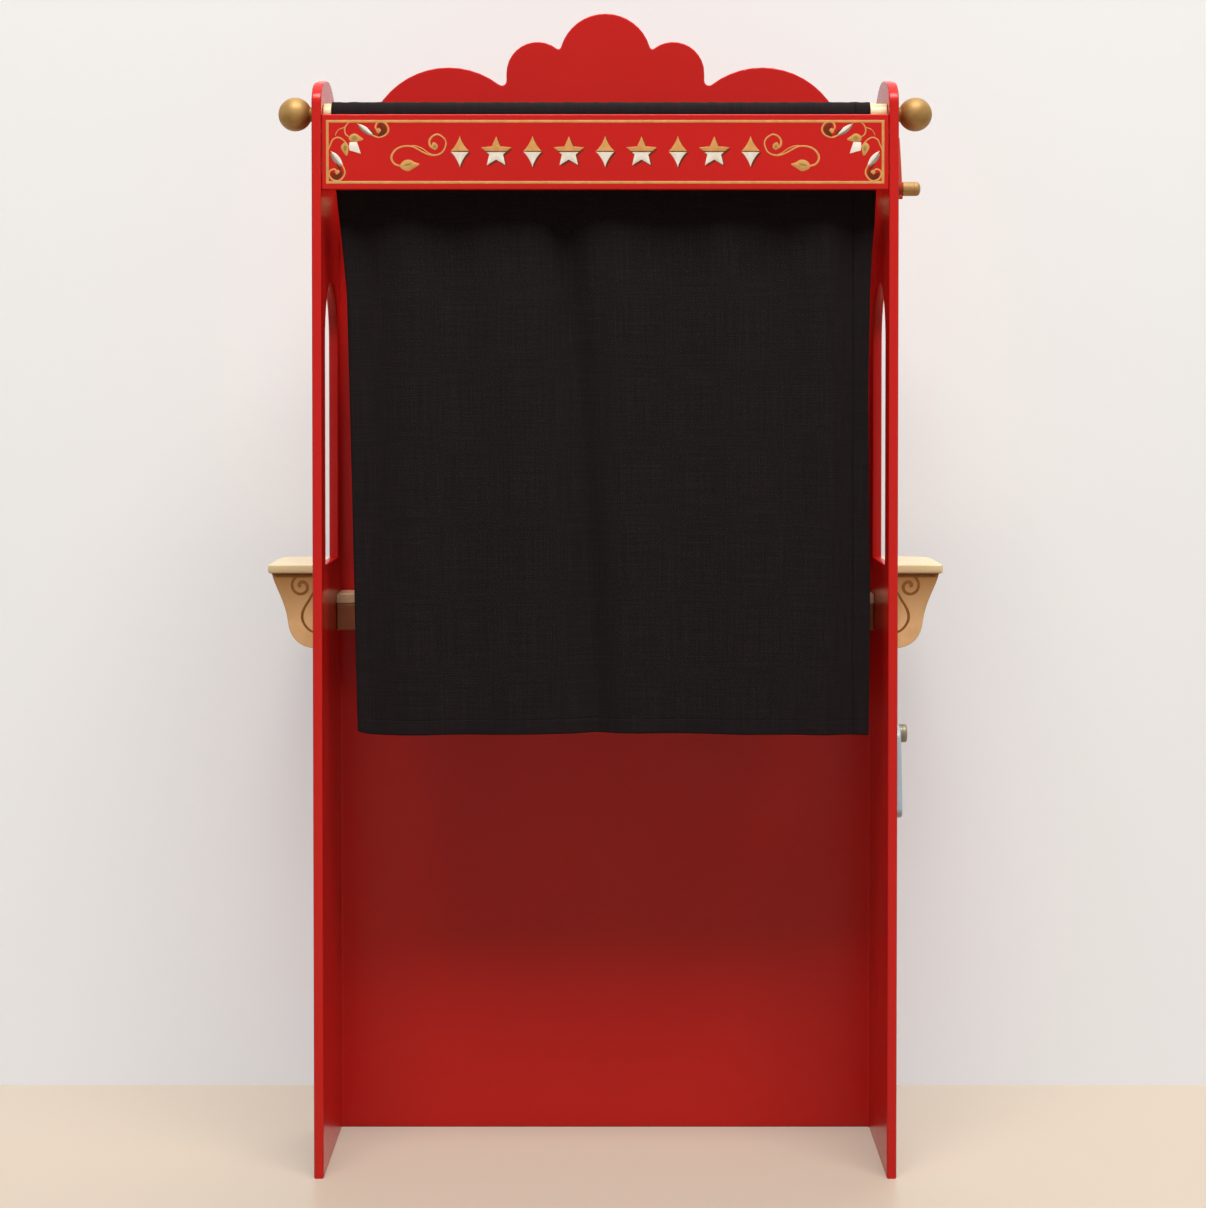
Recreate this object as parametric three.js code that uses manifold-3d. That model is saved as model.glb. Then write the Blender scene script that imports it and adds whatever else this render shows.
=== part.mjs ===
// Puppet theater stand for children: a painted board booth with a scalloped crest, an arched stage
// opening, a stage shelf on corbels, draw curtains, a rear curtain on a rod with ball finials, a toy
// clock and a swinging sign plate.
//
// Millimetres, +Z up. The puppeteer's side faces -Y and the audience's side faces +Y. The origin is on
// the floor at the middle of the stand. Depths are measured from the rear edges of the side panels.

import * as THREE from 'three';
import { mergeVertices } from 'three/addons/utils/BufferGeometryUtils.js';
import Module from 'manifold-3d';

const wasm = await Module();
wasm.setup();

// Whole stand
const standHeight = 1100; // floor to the top of the crest
const standWidth = 540; // over the outer faces of the side panels
const boardThickness = 9; // side panels, front panel and header board
const sideDepth = 175; // side panel, from its rear edge to its front edge
const seatGap = 0.3; // between pieces that touch
const edgeEase = 1.1; // eased edges of the painted boards
const cutOverrun = 2; // how far a cutter passes the face that it cuts
const pointSpacing = 0.02; // outline points closer than this are one point

// Side panels
const sideTopDrop = 77; // top of the crest down to the top edge
const sideRearCorner = 28;
const sideFrontRound = 115;

// Arched windows in the side panels
const windowMargin = 30; // to the side panel's rear edge and to its front edge
const windowSillZ = 567.5;
const windowCrownDrop = 266.5; // top of the crest down to the arch's crown

// Crest: a centre lobe, a smaller lobe on each side and a broad hump beyond
const centreLobeRadius = 45.5;
const innerLobeRadius = 30.6;
const innerLobeOffset = 66.6;
const innerLobeDrop = 58.3;
const humpRadius = 81.5;
const humpOffset = 154;
const humpDrop = 134.2;
const shoulderDrop = 155;
const shoulderCorner = 4;
const lobeFillet = 2.5;
const notchFillet = 4.5;

// Stage opening in the front panel
const openingWidth = 420;
const openingArchRise = 92;
const openingCrownDrop = 212; // top of the crest down to the arch's crown

// Header board across the rear
const headerHeight = 69.2;
const headerTopDrop = 115.3;

// Stage shelf on the audience's side
const shelfTopZ = 559;
const shelfThickness = 9;
const shelfReach = 97.7; // forward of the front panel
const shelfSideReach = 62; // outward of the side panels
const shelfEar = 18.3; // length of the ears back along the side panels
const shelfFrontCorner = 26;
const shelfRearCorner = 3;
const shelfEase = 1.4;
const cleatHeight = 16;
const cleatDepth = 18;
const cleatInset = 30; // from each side panel's outer face to the cleat's end

// Corbels under the ears of the shelf
const corbelReach = 58;
const corbelHeight = 73.6;
const corbelThickness = 16;
// Right and upward shares of the reach and the height, from the foot against the panel
const corbelFootShare = 0.24;
const corbelWaistShares = [0.73, 0.37];
const corbelBellyShares = [0.55, 0, 0.71, 0.16];
const corbelThroatShares = [0.775, 0.64, 0.955, 0.83];

// Inner ledge behind the front panel
const ledgeTopZ = 533.2;
const ledgeThickness = 10;
const ledgeDepth = 41.7;
const apronHeight = 25.3;
const apronThickness = 9;

// Rear curtain rod and its ball finials
const rodRadius = 10;
const rodSetback = 23;
const rodDrop = 36.4; // top edge of the side panel down to the rod's axis
const tenonRadius = 6;
const tenonLength = 27;
const tenonClearance = 0.4;
const finialRadius = 15.6;
const finialNeckRadius = 7.5;
const finialStandoff = 17.1; // ball's centre to the seat of its neck

// Rear curtain
const clothThickness = 1.1;
const pocketClearance = 0.45;
const rearCurtainDrop = 578; // rod's axis to the bottom hem
const rearLeftMargin = 7; // rod left bare at its left end
const rearRightMargin = 13;
const rearLeftDrawIn = 23; // how far the side edges come in towards the bottom
const rearRightDrawIn = 4;
const rearHemWidth = 14;
const rearFoldDepth = 6;
const rearClothColumns = 32;
const rearClothRows = 12;
const rearHemColumns = 1;
const rearFoldOnsetShare = 0.5; // of the drop, where the folds are fully open
// Each fold: place along the top, place along the bottom, depth and half width, as shares
const rearFoldShares = [
  [0.06, 0.03, 0.55, 0.035],
  [0.2, 0.17, -0.4, 0.06],
  [0.38, 0.43, 1, 0.05],
  [0.5, 0.56, -0.5, 0.07],
  [0.68, 0.72, 0.4, 0.07],
  [0.86, 0.88, -0.45, 0.05],
  [0.97, 0.955, 0.6, 0.035],
];

// Front curtains
const frontRodRadius = 6;
const frontRodStandoff = 16; // rod's axis to the front panel's rear face
const frontRodRise = 22; // opening's crown up to the rod's axis
const frontRodEndMargin = 14; // rod's end to the side panel
const frontClothThickness = 1.6;
const frontCurtainClear = 5; // above the inner ledge
const frontCurtainMeet = 3; // gap between the two closed curtains
const frontHemWidth = 12;
const frontPleats = 8;
const pleatColumns = 7;
const frontClothRows = 5;
const frontHemColumns = 2;
const pleatDepth = 5;
const pleatTopShare = 0.25; // of the pleats' depth, at the rod
const pleatOnsetShare = 0.34; // of the drop, where the pleats are fully open

// Brackets that hold the front rod
const bracketWidth = 12;
const bracketInset = 17; // from the side panel's inner face
const bracketPlate = 6;
const bracketFinger = 3;
const bracketArmDepth = 5; // wood under the rod
const bracketRise = 9;
const bracketDrop = 26;
const bracketCorner = 2;
const cradleClearance = 0.4;

// Clock and sign on the right side panel
const fittingSetback = 83; // rear edge to the clock's and the sign's axis
const clockDrop = 100.9; // top edge of the side panel down to the clock's axis
const pivotRadius = 3;
const pivotClearance = 0.35;
const pivotSeatDepth = 7; // how deep a pivot sits in the panel
const clockSpacerLength = 4.6;
const clockSpacerRadius = 7;
const handThickness = 3.4;
const handBossRadius = 6.5;
const minuteHandReach = 55;
const minuteHandTail = 10;
const minuteHandHalfWidth = 4.2;
const hourHandReach = 38;
const hourHandTail = 10;
const hourHandHalfWidth = 5.6;
const handTipHalfWidth = 1.2;
const handSwellShare = 0.62; // of the reach, where the blade turns to its tip
const handNeckShare = 0.45; // of the blade's half width, at the boss
const minuteHandAngle = 25; // degrees forward of straight up
const hourHandAngle = 118;
const clockKnobRadius = 6.8;
const clockKnobLength = 17;
const signWidth = 91; // along the lower edge
const signHeight = 85.7;
const signThickness = 9;
const signPivotZ = 403;
const signPivotDrop = 11; // top of the plate down to its pivot
const signShoulderDrop = 12; // top of the plate down to its shoulders
const signHeadWidth = 62; // across the shoulders
const signCorner = 8;
const signKnobRadius = 8.7;
const signKnobLength = 8.8;
const knobCrownShare = 1.02; // radius of a knob's round face over the knob's own

// Screws
const screwShankRadius = 1.8;
const screwHeadRadius = 3.2;
const screwHeadHeight = 1.8; // of the head's cone
const screwHeadEdge = 0.5;
const screwTipLength = 4;
const screwSocketRadius = 1.5;
const screwSocketDepth = 1.3;
const screwClearance = 0.25;
const panelScrewLength = 34;
const shelfScrewLength = 24;
const bracketScrewLength = 12;
const panelScrewLowZ = 70;
const panelScrewMiddleZ = 430;
const panelScrewTopDrop = 225; // top of the crest down to the highest panel screw
const headerScrewMargin = 16;
const ledgeScrewMargin = 14;
const shelfScrewMargin = 50; // cleat's end to its nearest screw

// Facets
const easeSteps = 1;
const chordError = 0.18; // how far a facet may stand off its arc
const bezierSteps = 8;
const knobRings = 4;
const holeSides = 16;
const rodSides = 28;
const screwSides = 10;
const ballSides = 22;
const ballRings = 8;
const socketSides = 6;

// Worked out from the sizes above
const innerHalfWidth = standWidth / 2 - boardThickness;
const overallDepth = sideDepth + seatGap + shelfReach;
const frontPanelRear = sideDepth - boardThickness;
const frontRodSetback = frontPanelRear - frontRodStandoff;
const sideTopZ = standHeight - sideTopDrop;
const windowWidth = sideDepth - 2 * windowMargin;
const windowCrownZ = standHeight - windowCrownDrop;
const openingSillZ = shelfTopZ + seatGap;
const openingCrownZ = standHeight - openingCrownDrop;
const headerTopZ = standHeight - headerTopDrop;
const rodZ = sideTopZ - rodDrop;
const frontRodZ = openingCrownZ + frontRodRise;
const ledgeRear = frontPanelRear - seatGap - ledgeDepth;
const clockZ = sideTopZ - clockDrop;
const shelfUnderZ = shelfTopZ - shelfThickness;
const cleatCentreZ = shelfUnderZ - seatGap - cleatHeight / 2;
const frontPanelMiddle = sideDepth - boardThickness / 2;
const bracketCentreX = innerHalfWidth - bracketInset - bracketWidth / 2;
const bracketScrewZ = frontRodZ - (bracketDrop + frontRodRadius + bracketArmDepth) / 2;
const hourHandSeat = seatGap + clockSpacerLength + seatGap;
const minuteHandSeat = hourHandSeat + handThickness + seatGap;
const clockKnobSeat = minuteHandSeat + handThickness + seatGap;

const panelScrewHeights = [panelScrewLowZ, panelScrewMiddleZ, standHeight - panelScrewTopDrop];
const headerScrewHeights = [headerTopZ - headerHeight + headerScrewMargin, headerTopZ - headerScrewMargin];
const ledgeScrewSetbacks = [ledgeRear + ledgeScrewMargin, ledgeRear + ledgeDepth - ledgeScrewMargin];
const ledgeScrewZ = ledgeTopZ - ledgeThickness / 2;
const shelfScrewReach = standWidth / 2 - cleatInset - shelfScrewMargin;
const shelfScrewOffsets = [-shelfScrewReach, 0, shelfScrewReach];
const bothSides = [[-1, 'left'], [1, 'right']];

// Finishes
const redLacquer = { color: 0xc4241f, roughness: 0.3, metalness: 0 };
const creamPaint = { color: 0xe6d5ae, roughness: 0.45, metalness: 0 };
const goldPaint = { color: 0xb08a45, roughness: 0.4, metalness: 0.5 };
const paleWood = { color: 0xe7cd9c, roughness: 0.6, metalness: 0 };
const blackCloth = { color: 0x1c1b1b, roughness: 0.95, metalness: 0 };
const redVelvet = { color: 0x8e1420, roughness: 0.9, metalness: 0 };
const skyPaint = { color: 0x7fb9d6, roughness: 0.45, metalness: 0 };
const zincSteel = { color: 0x9a9a98, roughness: 0.35, metalness: 0.9 };

const unitX = new THREE.Vector3(1, 0, 0);
const unitY = new THREE.Vector3(0, 1, 0);
const unitZ = new THREE.Vector3(0, 0, 1);

// Turns a drawing in depth and height so that its thickness runs along +X
const sideFrame = new THREE.Matrix4().makeBasis(unitY, unitZ, unitX);
// Turns a drawing in width and height so that its thickness runs along -Y
const frontFrame = new THREE.Matrix4().makeBasis(unitX, unitZ, unitY.clone().negate());

function piece(name, geometry, finish) {
  const mesh = new THREE.Mesh(geometry, new THREE.MeshStandardMaterial(finish));
  mesh.name = name;
  return mesh;
}

// Closed mesh with shared vertices, as a solid that can be cut and joined
function toSolid(geometry) {
  const bare = geometry.clone();
  bare.deleteAttribute('normal');
  bare.deleteAttribute('uv');
  const merged = mergeVertices(bare);
  const vertProperties = new Float32Array(merged.attributes.position.array);
  const triVerts = new Uint32Array(merged.index.array);
  return new wasm.Manifold(new wasm.Mesh({ numProp: 3, vertProperties, triVerts }));
}

function toGeometry(solid) {
  const mesh = solid.getMesh();
  const geometry = new THREE.BufferGeometry();
  geometry.setAttribute('position', new THREE.BufferAttribute(mesh.vertProperties, 3));
  geometry.setIndex(new THREE.BufferAttribute(mesh.triVerts, 1));
  geometry.computeVertexNormals();
  return geometry;
}

function cut(geometry, cutters) {
  let solid = toSolid(geometry);
  for (const cutter of cutters) solid = solid.subtract(toSolid(cutter));
  return toGeometry(solid);
}

function joined(first, second) {
  return toGeometry(toSolid(first).add(toSolid(second)));
}

// Round bar between two points, used for bores as well as for rods
function bar(from, to, radius, sides = holeSides) {
  const run = to.clone().sub(from);
  const geometry = new THREE.CylinderGeometry(radius, radius, run.length(), sides);
  const turn = new THREE.Quaternion().setFromUnitVectors(unitY, run.clone().normalize());
  geometry.applyQuaternion(turn);
  const middle = from.clone().add(to).divideScalar(2);
  return geometry.translate(middle.x, middle.y, middle.z);
}

function boreX(fromX, toX, y, z, radius) {
  return bar(new THREE.Vector3(fromX, y, z), new THREE.Vector3(toX, y, z), radius);
}

// Points along a path: a line keeps its ends, and an arc gets as many as its radius needs
function pathPoints(path) {
  return path.curves.flatMap((curve) => {
    if (curve.isLineCurve) return curve.getPoints(1);
    if (!curve.isEllipseCurve) return curve.getPoints(bezierSteps);
    const radius = Math.max(curve.xRadius, curve.yRadius);
    const sweep = Math.abs(curve.aEndAngle - curve.aStartAngle);
    return curve.getPoints(Math.ceil(sweep / (2 * Math.acos(1 - chordError / radius))));
  });
}

// Points without the doubled ones where one curve hands over to the next
function distinct(points) {
  return points.filter((point, i) => {
    const next = points[(i + 1) % points.length];
    return point.distanceTo(next) > pointSpacing;
  });
}

// Closed outline from one path
function outlineFrom(path) {
  return new THREE.Shape(distinct(pathPoints(path)));
}

// Closed outline from its right half and the mirror image of that half
function mirroredOutline(half) {
  const right = pathPoints(half);
  const left = right.map((point) => new THREE.Vector2(-point.x, point.y)).reverse();
  return new THREE.Shape(distinct([...right, ...left]));
}

// Board of a given outline with eased edges, from zero to its thickness along local Z
function easedBoard(shape, thickness, ease = edgeEase) {
  const geometry = new THREE.ExtrudeGeometry(shape, {
    depth: thickness - 2 * ease,
    bevelEnabled: true,
    bevelThickness: ease,
    bevelSize: ease,
    bevelOffset: -ease,
    bevelSegments: easeSteps,
  });
  return geometry.translate(0, 0, ease);
}

// Board with square edges
function plainBoard(shape, thickness) {
  return new THREE.ExtrudeGeometry(shape, { depth: thickness, bevelEnabled: false });
}

// Board that stands across the stand, its rear face at zero depth
function crossBoard(shape, thickness, ease = edgeEase) {
  return easedBoard(shape, thickness, ease).applyMatrix4(frontFrame).translate(0, thickness, 0);
}

function rectangle(left, right, low, high) {
  return new THREE.Shape([
    new THREE.Vector2(left, low),
    new THREE.Vector2(right, low),
    new THREE.Vector2(right, high),
    new THREE.Vector2(left, high),
  ]);
}

// Window or doorway with straight sides under an arch of the given rise
function archedHole(left, right, sillZ, crownZ, rise) {
  const hole = new THREE.Path();
  const middle = (left + right) / 2;
  hole.moveTo(left, sillZ);
  hole.lineTo(right, sillZ);
  hole.absellipse(middle, crownZ - rise, (right - left) / 2, rise, 0, Math.PI, false);
  return new THREE.Path(distinct(pathPoints(hole)));
}

function sideOutline() {
  const edge = new THREE.Path();
  edge.moveTo(0, 0);
  edge.lineTo(sideDepth, 0);
  edge.absarc(sideDepth - sideFrontRound, sideTopZ - sideFrontRound, sideFrontRound, 0, Math.PI / 2, false);
  edge.absarc(sideRearCorner, sideTopZ - sideRearCorner, sideRearCorner, Math.PI / 2, Math.PI, false);
  const outline = outlineFrom(edge);
  const left = windowMargin;
  const right = windowMargin + windowWidth;
  outline.holes.push(archedHole(left, right, windowSillZ, windowCrownZ, windowWidth / 2));
  return outline;
}

// Side panel with its bores, drawn from the rear edge and from its face at the lower X
function sidePanelGeometry(originX, pivotHeights) {
  const past = boardThickness + cutOverrun;
  const bores = [
    ...screwBores(['panel', 'header', 'ledge'], new THREE.Vector3(originX, 0, 0)),
    boreX(-cutOverrun, past, rodSetback, rodZ, tenonRadius + tenonClearance),
    ...pivotHeights.map((z) => {
      const seat = boardThickness - pivotSeatDepth - seatGap;
      return boreX(seat, past, fittingSetback, z, pivotRadius + pivotClearance);
    }),
  ];
  const board = easedBoard(sideOutline(), boardThickness).applyMatrix4(sideFrame);
  return cut(board, bores);
}

// Centre of a circle of the given radius that touches circles a and b from outside, above them
function touchingCentre(a, b, radius) {
  const reachA = a.radius + radius;
  const reachB = b.radius + radius;
  const across = new THREE.Vector2(b.x - a.x, b.z - a.z);
  const span = across.length();
  const along = (span * span + reachA * reachA - reachB * reachB) / (2 * span);
  const aside = Math.sqrt(reachA * reachA - along * along);
  const unit = across.divideScalar(span);
  const side = unit.x > 0 ? 1 : -1;
  return {
    x: a.x + unit.x * along - side * unit.y * aside,
    z: a.z + unit.y * along + side * unit.x * aside,
    radius,
  };
}

function angleFrom(from, to) {
  return Math.atan2(to.z - from.z, to.x - from.x);
}

// Right half of the crest, from the shoulder at the side panel to the top of the centre lobe. Every
// hand-over between lobes is a small hollow arc that touches both of its neighbours.
function crestHalf(halfWidth) {
  const centreLobe = { x: 0, z: standHeight - centreLobeRadius, radius: centreLobeRadius };
  const innerLobe = { x: innerLobeOffset, z: standHeight - innerLobeDrop, radius: innerLobeRadius };
  const hump = { x: humpOffset, z: standHeight - humpDrop, radius: humpRadius };
  const shoulderZ = standHeight - shoulderDrop;
  const wallX = innerLobe.x + innerLobe.radius;
  const notchX = wallX + notchFillet;
  const notchReach = hump.radius + notchFillet;
  const notchRise = Math.sqrt(notchReach * notchReach - (notchX - hump.x) * (notchX - hump.x));
  const notch = { x: notchX, z: hump.z + notchRise, radius: notchFillet };
  const valley = touchingCentre(centreLobe, innerLobe, lobeFillet);
  const half = new THREE.Path();
  half.moveTo(halfWidth, 0);
  half.lineTo(halfWidth, shoulderZ - shoulderCorner);
  half.absarc(halfWidth - shoulderCorner, shoulderZ - shoulderCorner, shoulderCorner, 0, Math.PI / 2, false);
  half.absarc(hump.x, hump.z, hump.radius, Math.asin((shoulderZ - hump.z) / hump.radius),
    angleFrom(hump, notch), false);
  half.absarc(notch.x, notch.z, notch.radius, angleFrom(notch, hump), -Math.PI, true);
  half.absarc(innerLobe.x, innerLobe.z, innerLobe.radius, 0, angleFrom(innerLobe, valley), false);
  half.absarc(valley.x, valley.z, valley.radius, angleFrom(valley, innerLobe),
    angleFrom(valley, centreLobe), true);
  half.absarc(0, centreLobe.z, centreLobe.radius, angleFrom(centreLobe, valley), Math.PI / 2, false);
  return half;
}

function frontPanelGeometry() {
  const outline = mirroredOutline(crestHalf(innerHalfWidth - seatGap));
  const halfOpening = openingWidth / 2;
  outline.holes.push(archedHole(-halfOpening, halfOpening, openingSillZ, openingCrownZ, openingArchRise));
  const origin = new THREE.Vector3(0, frontPanelRear, 0);
  const bores = screwBores(['panel', 'shelf', 'bracket'], origin);
  return cut(crossBoard(outline, boardThickness), bores);
}

function headerGeometry() {
  const half = innerHalfWidth - seatGap;
  const board = crossBoard(rectangle(-half, half, headerTopZ - headerHeight, headerTopZ), boardThickness);
  return cut(board, screwBores(['header'], new THREE.Vector3()));
}

function ledgeGeometry() {
  const half = innerHalfWidth - seatGap;
  const board = easedBoard(rectangle(-half, half, ledgeRear, ledgeRear + ledgeDepth), ledgeThickness);
  board.translate(0, 0, ledgeTopZ - ledgeThickness);
  return cut(board, screwBores(['ledge'], new THREE.Vector3()));
}

function apronGeometry() {
  const half = innerHalfWidth - seatGap;
  const topZ = ledgeTopZ - ledgeThickness - seatGap;
  return crossBoard(rectangle(-half, half, topZ - apronHeight, topZ), apronThickness);
}

// Half of the shelf's outline: a rear edge against the front panel, an ear that runs back along the
// side panel and a rounded front corner
function shelfGeometry() {
  const notchX = standWidth / 2 + seatGap;
  const outerX = standWidth / 2 + shelfSideReach;
  const rearY = sideDepth + seatGap;
  const earY = sideDepth - shelfEar;
  const frontY = overallDepth;
  const half = new THREE.Path();
  half.moveTo(notchX, rearY);
  half.lineTo(notchX, earY);
  half.absarc(outerX - shelfRearCorner, earY + shelfRearCorner, shelfRearCorner, -Math.PI / 2, 0, false);
  half.absarc(outerX - shelfFrontCorner, frontY - shelfFrontCorner, shelfFrontCorner, 0, Math.PI / 2, false);
  const board = easedBoard(mirroredOutline(half), shelfThickness, shelfEase);
  return board.translate(0, 0, shelfUnderZ);
}

function cleatGeometry() {
  const half = standWidth / 2 - cleatInset;
  const lowZ = cleatCentreZ - cleatHeight / 2;
  const board = crossBoard(rectangle(-half, half, lowZ, lowZ + cleatHeight), cleatDepth);
  return cut(board, screwBores(['shelf'], new THREE.Vector3(0, sideDepth + seatGap, 0)));
}

// Corbel with a hollow throat that turns into a round belly, drawn from its foot against the panel
function corbelGeometry() {
  const profile = new THREE.Path();
  const [waistX, waistZ] = corbelWaistShares;
  const [bellyX, bellyZ, bellyEndX, bellyEndZ] = corbelBellyShares;
  const [throatX, throatZ, lipX, lipZ] = corbelThroatShares;
  profile.moveTo(0, 0);
  profile.lineTo(corbelFootShare * corbelReach, 0);
  profile.bezierCurveTo(
    bellyX * corbelReach, bellyZ * corbelHeight,
    bellyEndX * corbelReach, bellyEndZ * corbelHeight,
    waistX * corbelReach, waistZ * corbelHeight,
  );
  profile.bezierCurveTo(
    throatX * corbelReach, throatZ * corbelHeight,
    lipX * corbelReach, lipZ * corbelHeight,
    corbelReach, corbelHeight,
  );
  profile.lineTo(0, corbelHeight);
  return crossBoard(outlineFrom(profile), corbelThickness);
}

// Turned piece: the profile gives radius and height, and the axis becomes the given direction
function turned(profile, sides, direction = unitY) {
  const points = profile.map(([radius, height]) => new THREE.Vector2(radius, height));
  const geometry = new THREE.LatheGeometry(points, sides);
  return geometry.applyQuaternion(new THREE.Quaternion().setFromUnitVectors(unitY, direction));
}

// Points of a ball's profile from one height above its centre to another
function ballProfile(radius, centre, fromHeight, rings) {
  const start = Math.asin(fromHeight / radius);
  return Array.from({ length: rings + 1 }, (_, i) => {
    const angle = start + (Math.PI / 2 - start) * (i / rings);
    const onAxis = i === rings;
    return [onAxis ? 0 : radius * Math.cos(angle), centre + radius * Math.sin(angle)];
  });
}

function rearRodGeometry() {
  const half = innerHalfWidth - seatGap;
  const end = half + tenonLength;
  const profile = [[0, -end], [tenonRadius, -end], [tenonRadius, -half], [rodRadius, -half]];
  const mirrored = profile.map(([radius, height]) => [radius, -height]).reverse();
  return turned([...profile, ...mirrored], rodSides, unitX);
}

// Ball with a short neck and a blind bore for the rod's tenon, seated at zero height
function finialGeometry() {
  const boreRadius = tenonRadius + tenonClearance;
  const boreDepth = tenonLength - boardThickness;
  const neckHeight = -Math.sqrt(finialRadius * finialRadius - finialNeckRadius * finialNeckRadius);
  return turned([
    [0, boreDepth],
    [boreRadius, boreDepth],
    [boreRadius, 0],
    [finialNeckRadius, 0],
    ...ballProfile(finialRadius, finialStandoff, neckHeight, ballRings),
  ], ballSides);
}

// Thin closed sheet around a middle surface that is given as a function of two shares, the first
// across from left to right and the second down from top to bottom
function sheetGeometry(surface, columns, rows, thickness) {
  const across = columns + 1;
  const perFace = across * (rows + 1);
  const positions = [];
  for (const side of [-1, 1]) {
    for (let row = 0; row <= rows; row += 1) {
      for (let column = 0; column <= columns; column += 1) {
        const point = surface(column / columns, row / rows);
        positions.push(point.x, point.y + side * thickness / 2, point.z);
      }
    }
  }
  const at = (side, column, row) => side * perFace + row * across + column;
  const triangles = [];
  const quad = (a, b, c, d) => triangles.push(a, b, c, a, c, d);
  for (let row = 0; row < rows; row += 1) {
    for (let column = 0; column < columns; column += 1) {
      const right = column + 1;
      const below = row + 1;
      quad(at(0, column, row), at(0, column, below), at(0, right, below), at(0, right, row));
      quad(at(1, column, row), at(1, right, row), at(1, right, below), at(1, column, below));
    }
    quad(at(0, 0, row), at(1, 0, row), at(1, 0, row + 1), at(0, 0, row + 1));
    quad(at(0, columns, row), at(0, columns, row + 1), at(1, columns, row + 1), at(1, columns, row));
  }
  for (let column = 0; column < columns; column += 1) {
    const right = column + 1;
    quad(at(0, column, 0), at(0, right, 0), at(1, right, 0), at(1, column, 0));
    quad(at(0, column, rows), at(1, column, rows), at(1, right, rows), at(0, right, rows));
  }
  const geometry = new THREE.BufferGeometry();
  geometry.setAttribute('position', new THREE.Float32BufferAttribute(positions, 3));
  geometry.setIndex(triangles);
  return geometry;
}

// Sleeve sewn round a rod, from one X to another, with its axis on the rod's
function pocketGeometry(fromX, toX, y, z, boreRadius, thickness) {
  const ring = new THREE.Shape();
  ring.absarc(y, z, boreRadius + thickness, 0, 2 * Math.PI, false);
  const bore = new THREE.Path();
  bore.absarc(y, z, boreRadius, 0, 2 * Math.PI, true);
  ring.holes.push(bore);
  const sleeve = new THREE.ExtrudeGeometry(ring, {
    depth: toX - fromX,
    bevelEnabled: false,
    curveSegments: rodSides / 2,
  });
  return sleeve.applyMatrix4(sideFrame).translate(fromX, 0, 0);
}

function smoothRise(share) {
  const t = THREE.MathUtils.clamp(share, 0, 1);
  return t * t * (3 - 2 * t);
}

// Middle surface of the rear curtain. It hangs from the pocket, its side edges come in towards the
// bottom, and shallow folds run down it and deepen on the way.
function rearCurtainPoint(across, down) {
  const topZ = rodZ - rodRadius - pocketClearance - clothThickness / 2;
  const bottomZ = rodZ - rearCurtainDrop;
  const slack = smoothRise(down);
  const left = -(innerHalfWidth - rearLeftMargin) + rearLeftDrawIn * slack;
  const right = innerHalfWidth - rearRightMargin - rearRightDrawIn * slack;
  let depth = 0;
  for (const [topShare, bottomShare, depthShare, widthShare] of rearFoldShares) {
    const centre = topShare + (bottomShare - topShare) * down;
    const offset = (across - centre) / widthShare;
    depth += depthShare * Math.exp(-offset * offset);
  }
  return {
    x: left + (right - left) * across,
    y: rodSetback + rearFoldDepth * depth * smoothRise(down / rearFoldOnsetShare),
    z: topZ + (bottomZ - topZ) * down,
  };
}

// Middle surface of a front curtain that spans two X places, with upright pleats that open below the rod
function frontCurtainPoint(fixedX, hemX, across, down) {
  const topZ = frontRodZ - frontRodRadius - pocketClearance - frontClothThickness / 2;
  const bottomZ = ledgeTopZ + frontCurtainClear;
  const depth = pleatDepth * (pleatTopShare + (1 - pleatTopShare) * smoothRise(down / pleatOnsetShare));
  return {
    x: fixedX + (hemX - fixedX) * across,
    y: frontRodSetback + depth * Math.sin(2 * Math.PI * frontPleats * across),
    z: topZ + (bottomZ - topZ) * down,
  };
}

// Rear curtain and its leading side hem: the same surface, parted at the hem's inner edge
function rearCurtainPieces() {
  const left = -(innerHalfWidth - rearLeftMargin);
  const right = innerHalfWidth - rearRightMargin;
  const width = right - left;
  const clothShare = (width - rearHemWidth) / width;
  const hemShare = (width - rearHemWidth + seatGap) / width;
  const bore = rodRadius + pocketClearance;
  const cloth = sheetGeometry((u, v) => rearCurtainPoint(u * clothShare, v),
    rearClothColumns, rearClothRows, clothThickness);
  const hem = sheetGeometry((u, v) => rearCurtainPoint(hemShare + u * (1 - hemShare), v),
    rearHemColumns, rearClothRows, clothThickness);
  const clothPocket = pocketGeometry(left, right - rearHemWidth, rodSetback, rodZ, bore, clothThickness);
  const hemPocket = pocketGeometry(right - rearHemWidth + seatGap, right, rodSetback, rodZ, bore,
    clothThickness);
  return [
    piece('rear_curtain', joined(cloth, clothPocket), blackCloth),
    piece('rear_curtain_hem', joined(hem, hemPocket), blackCloth),
  ];
}

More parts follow.
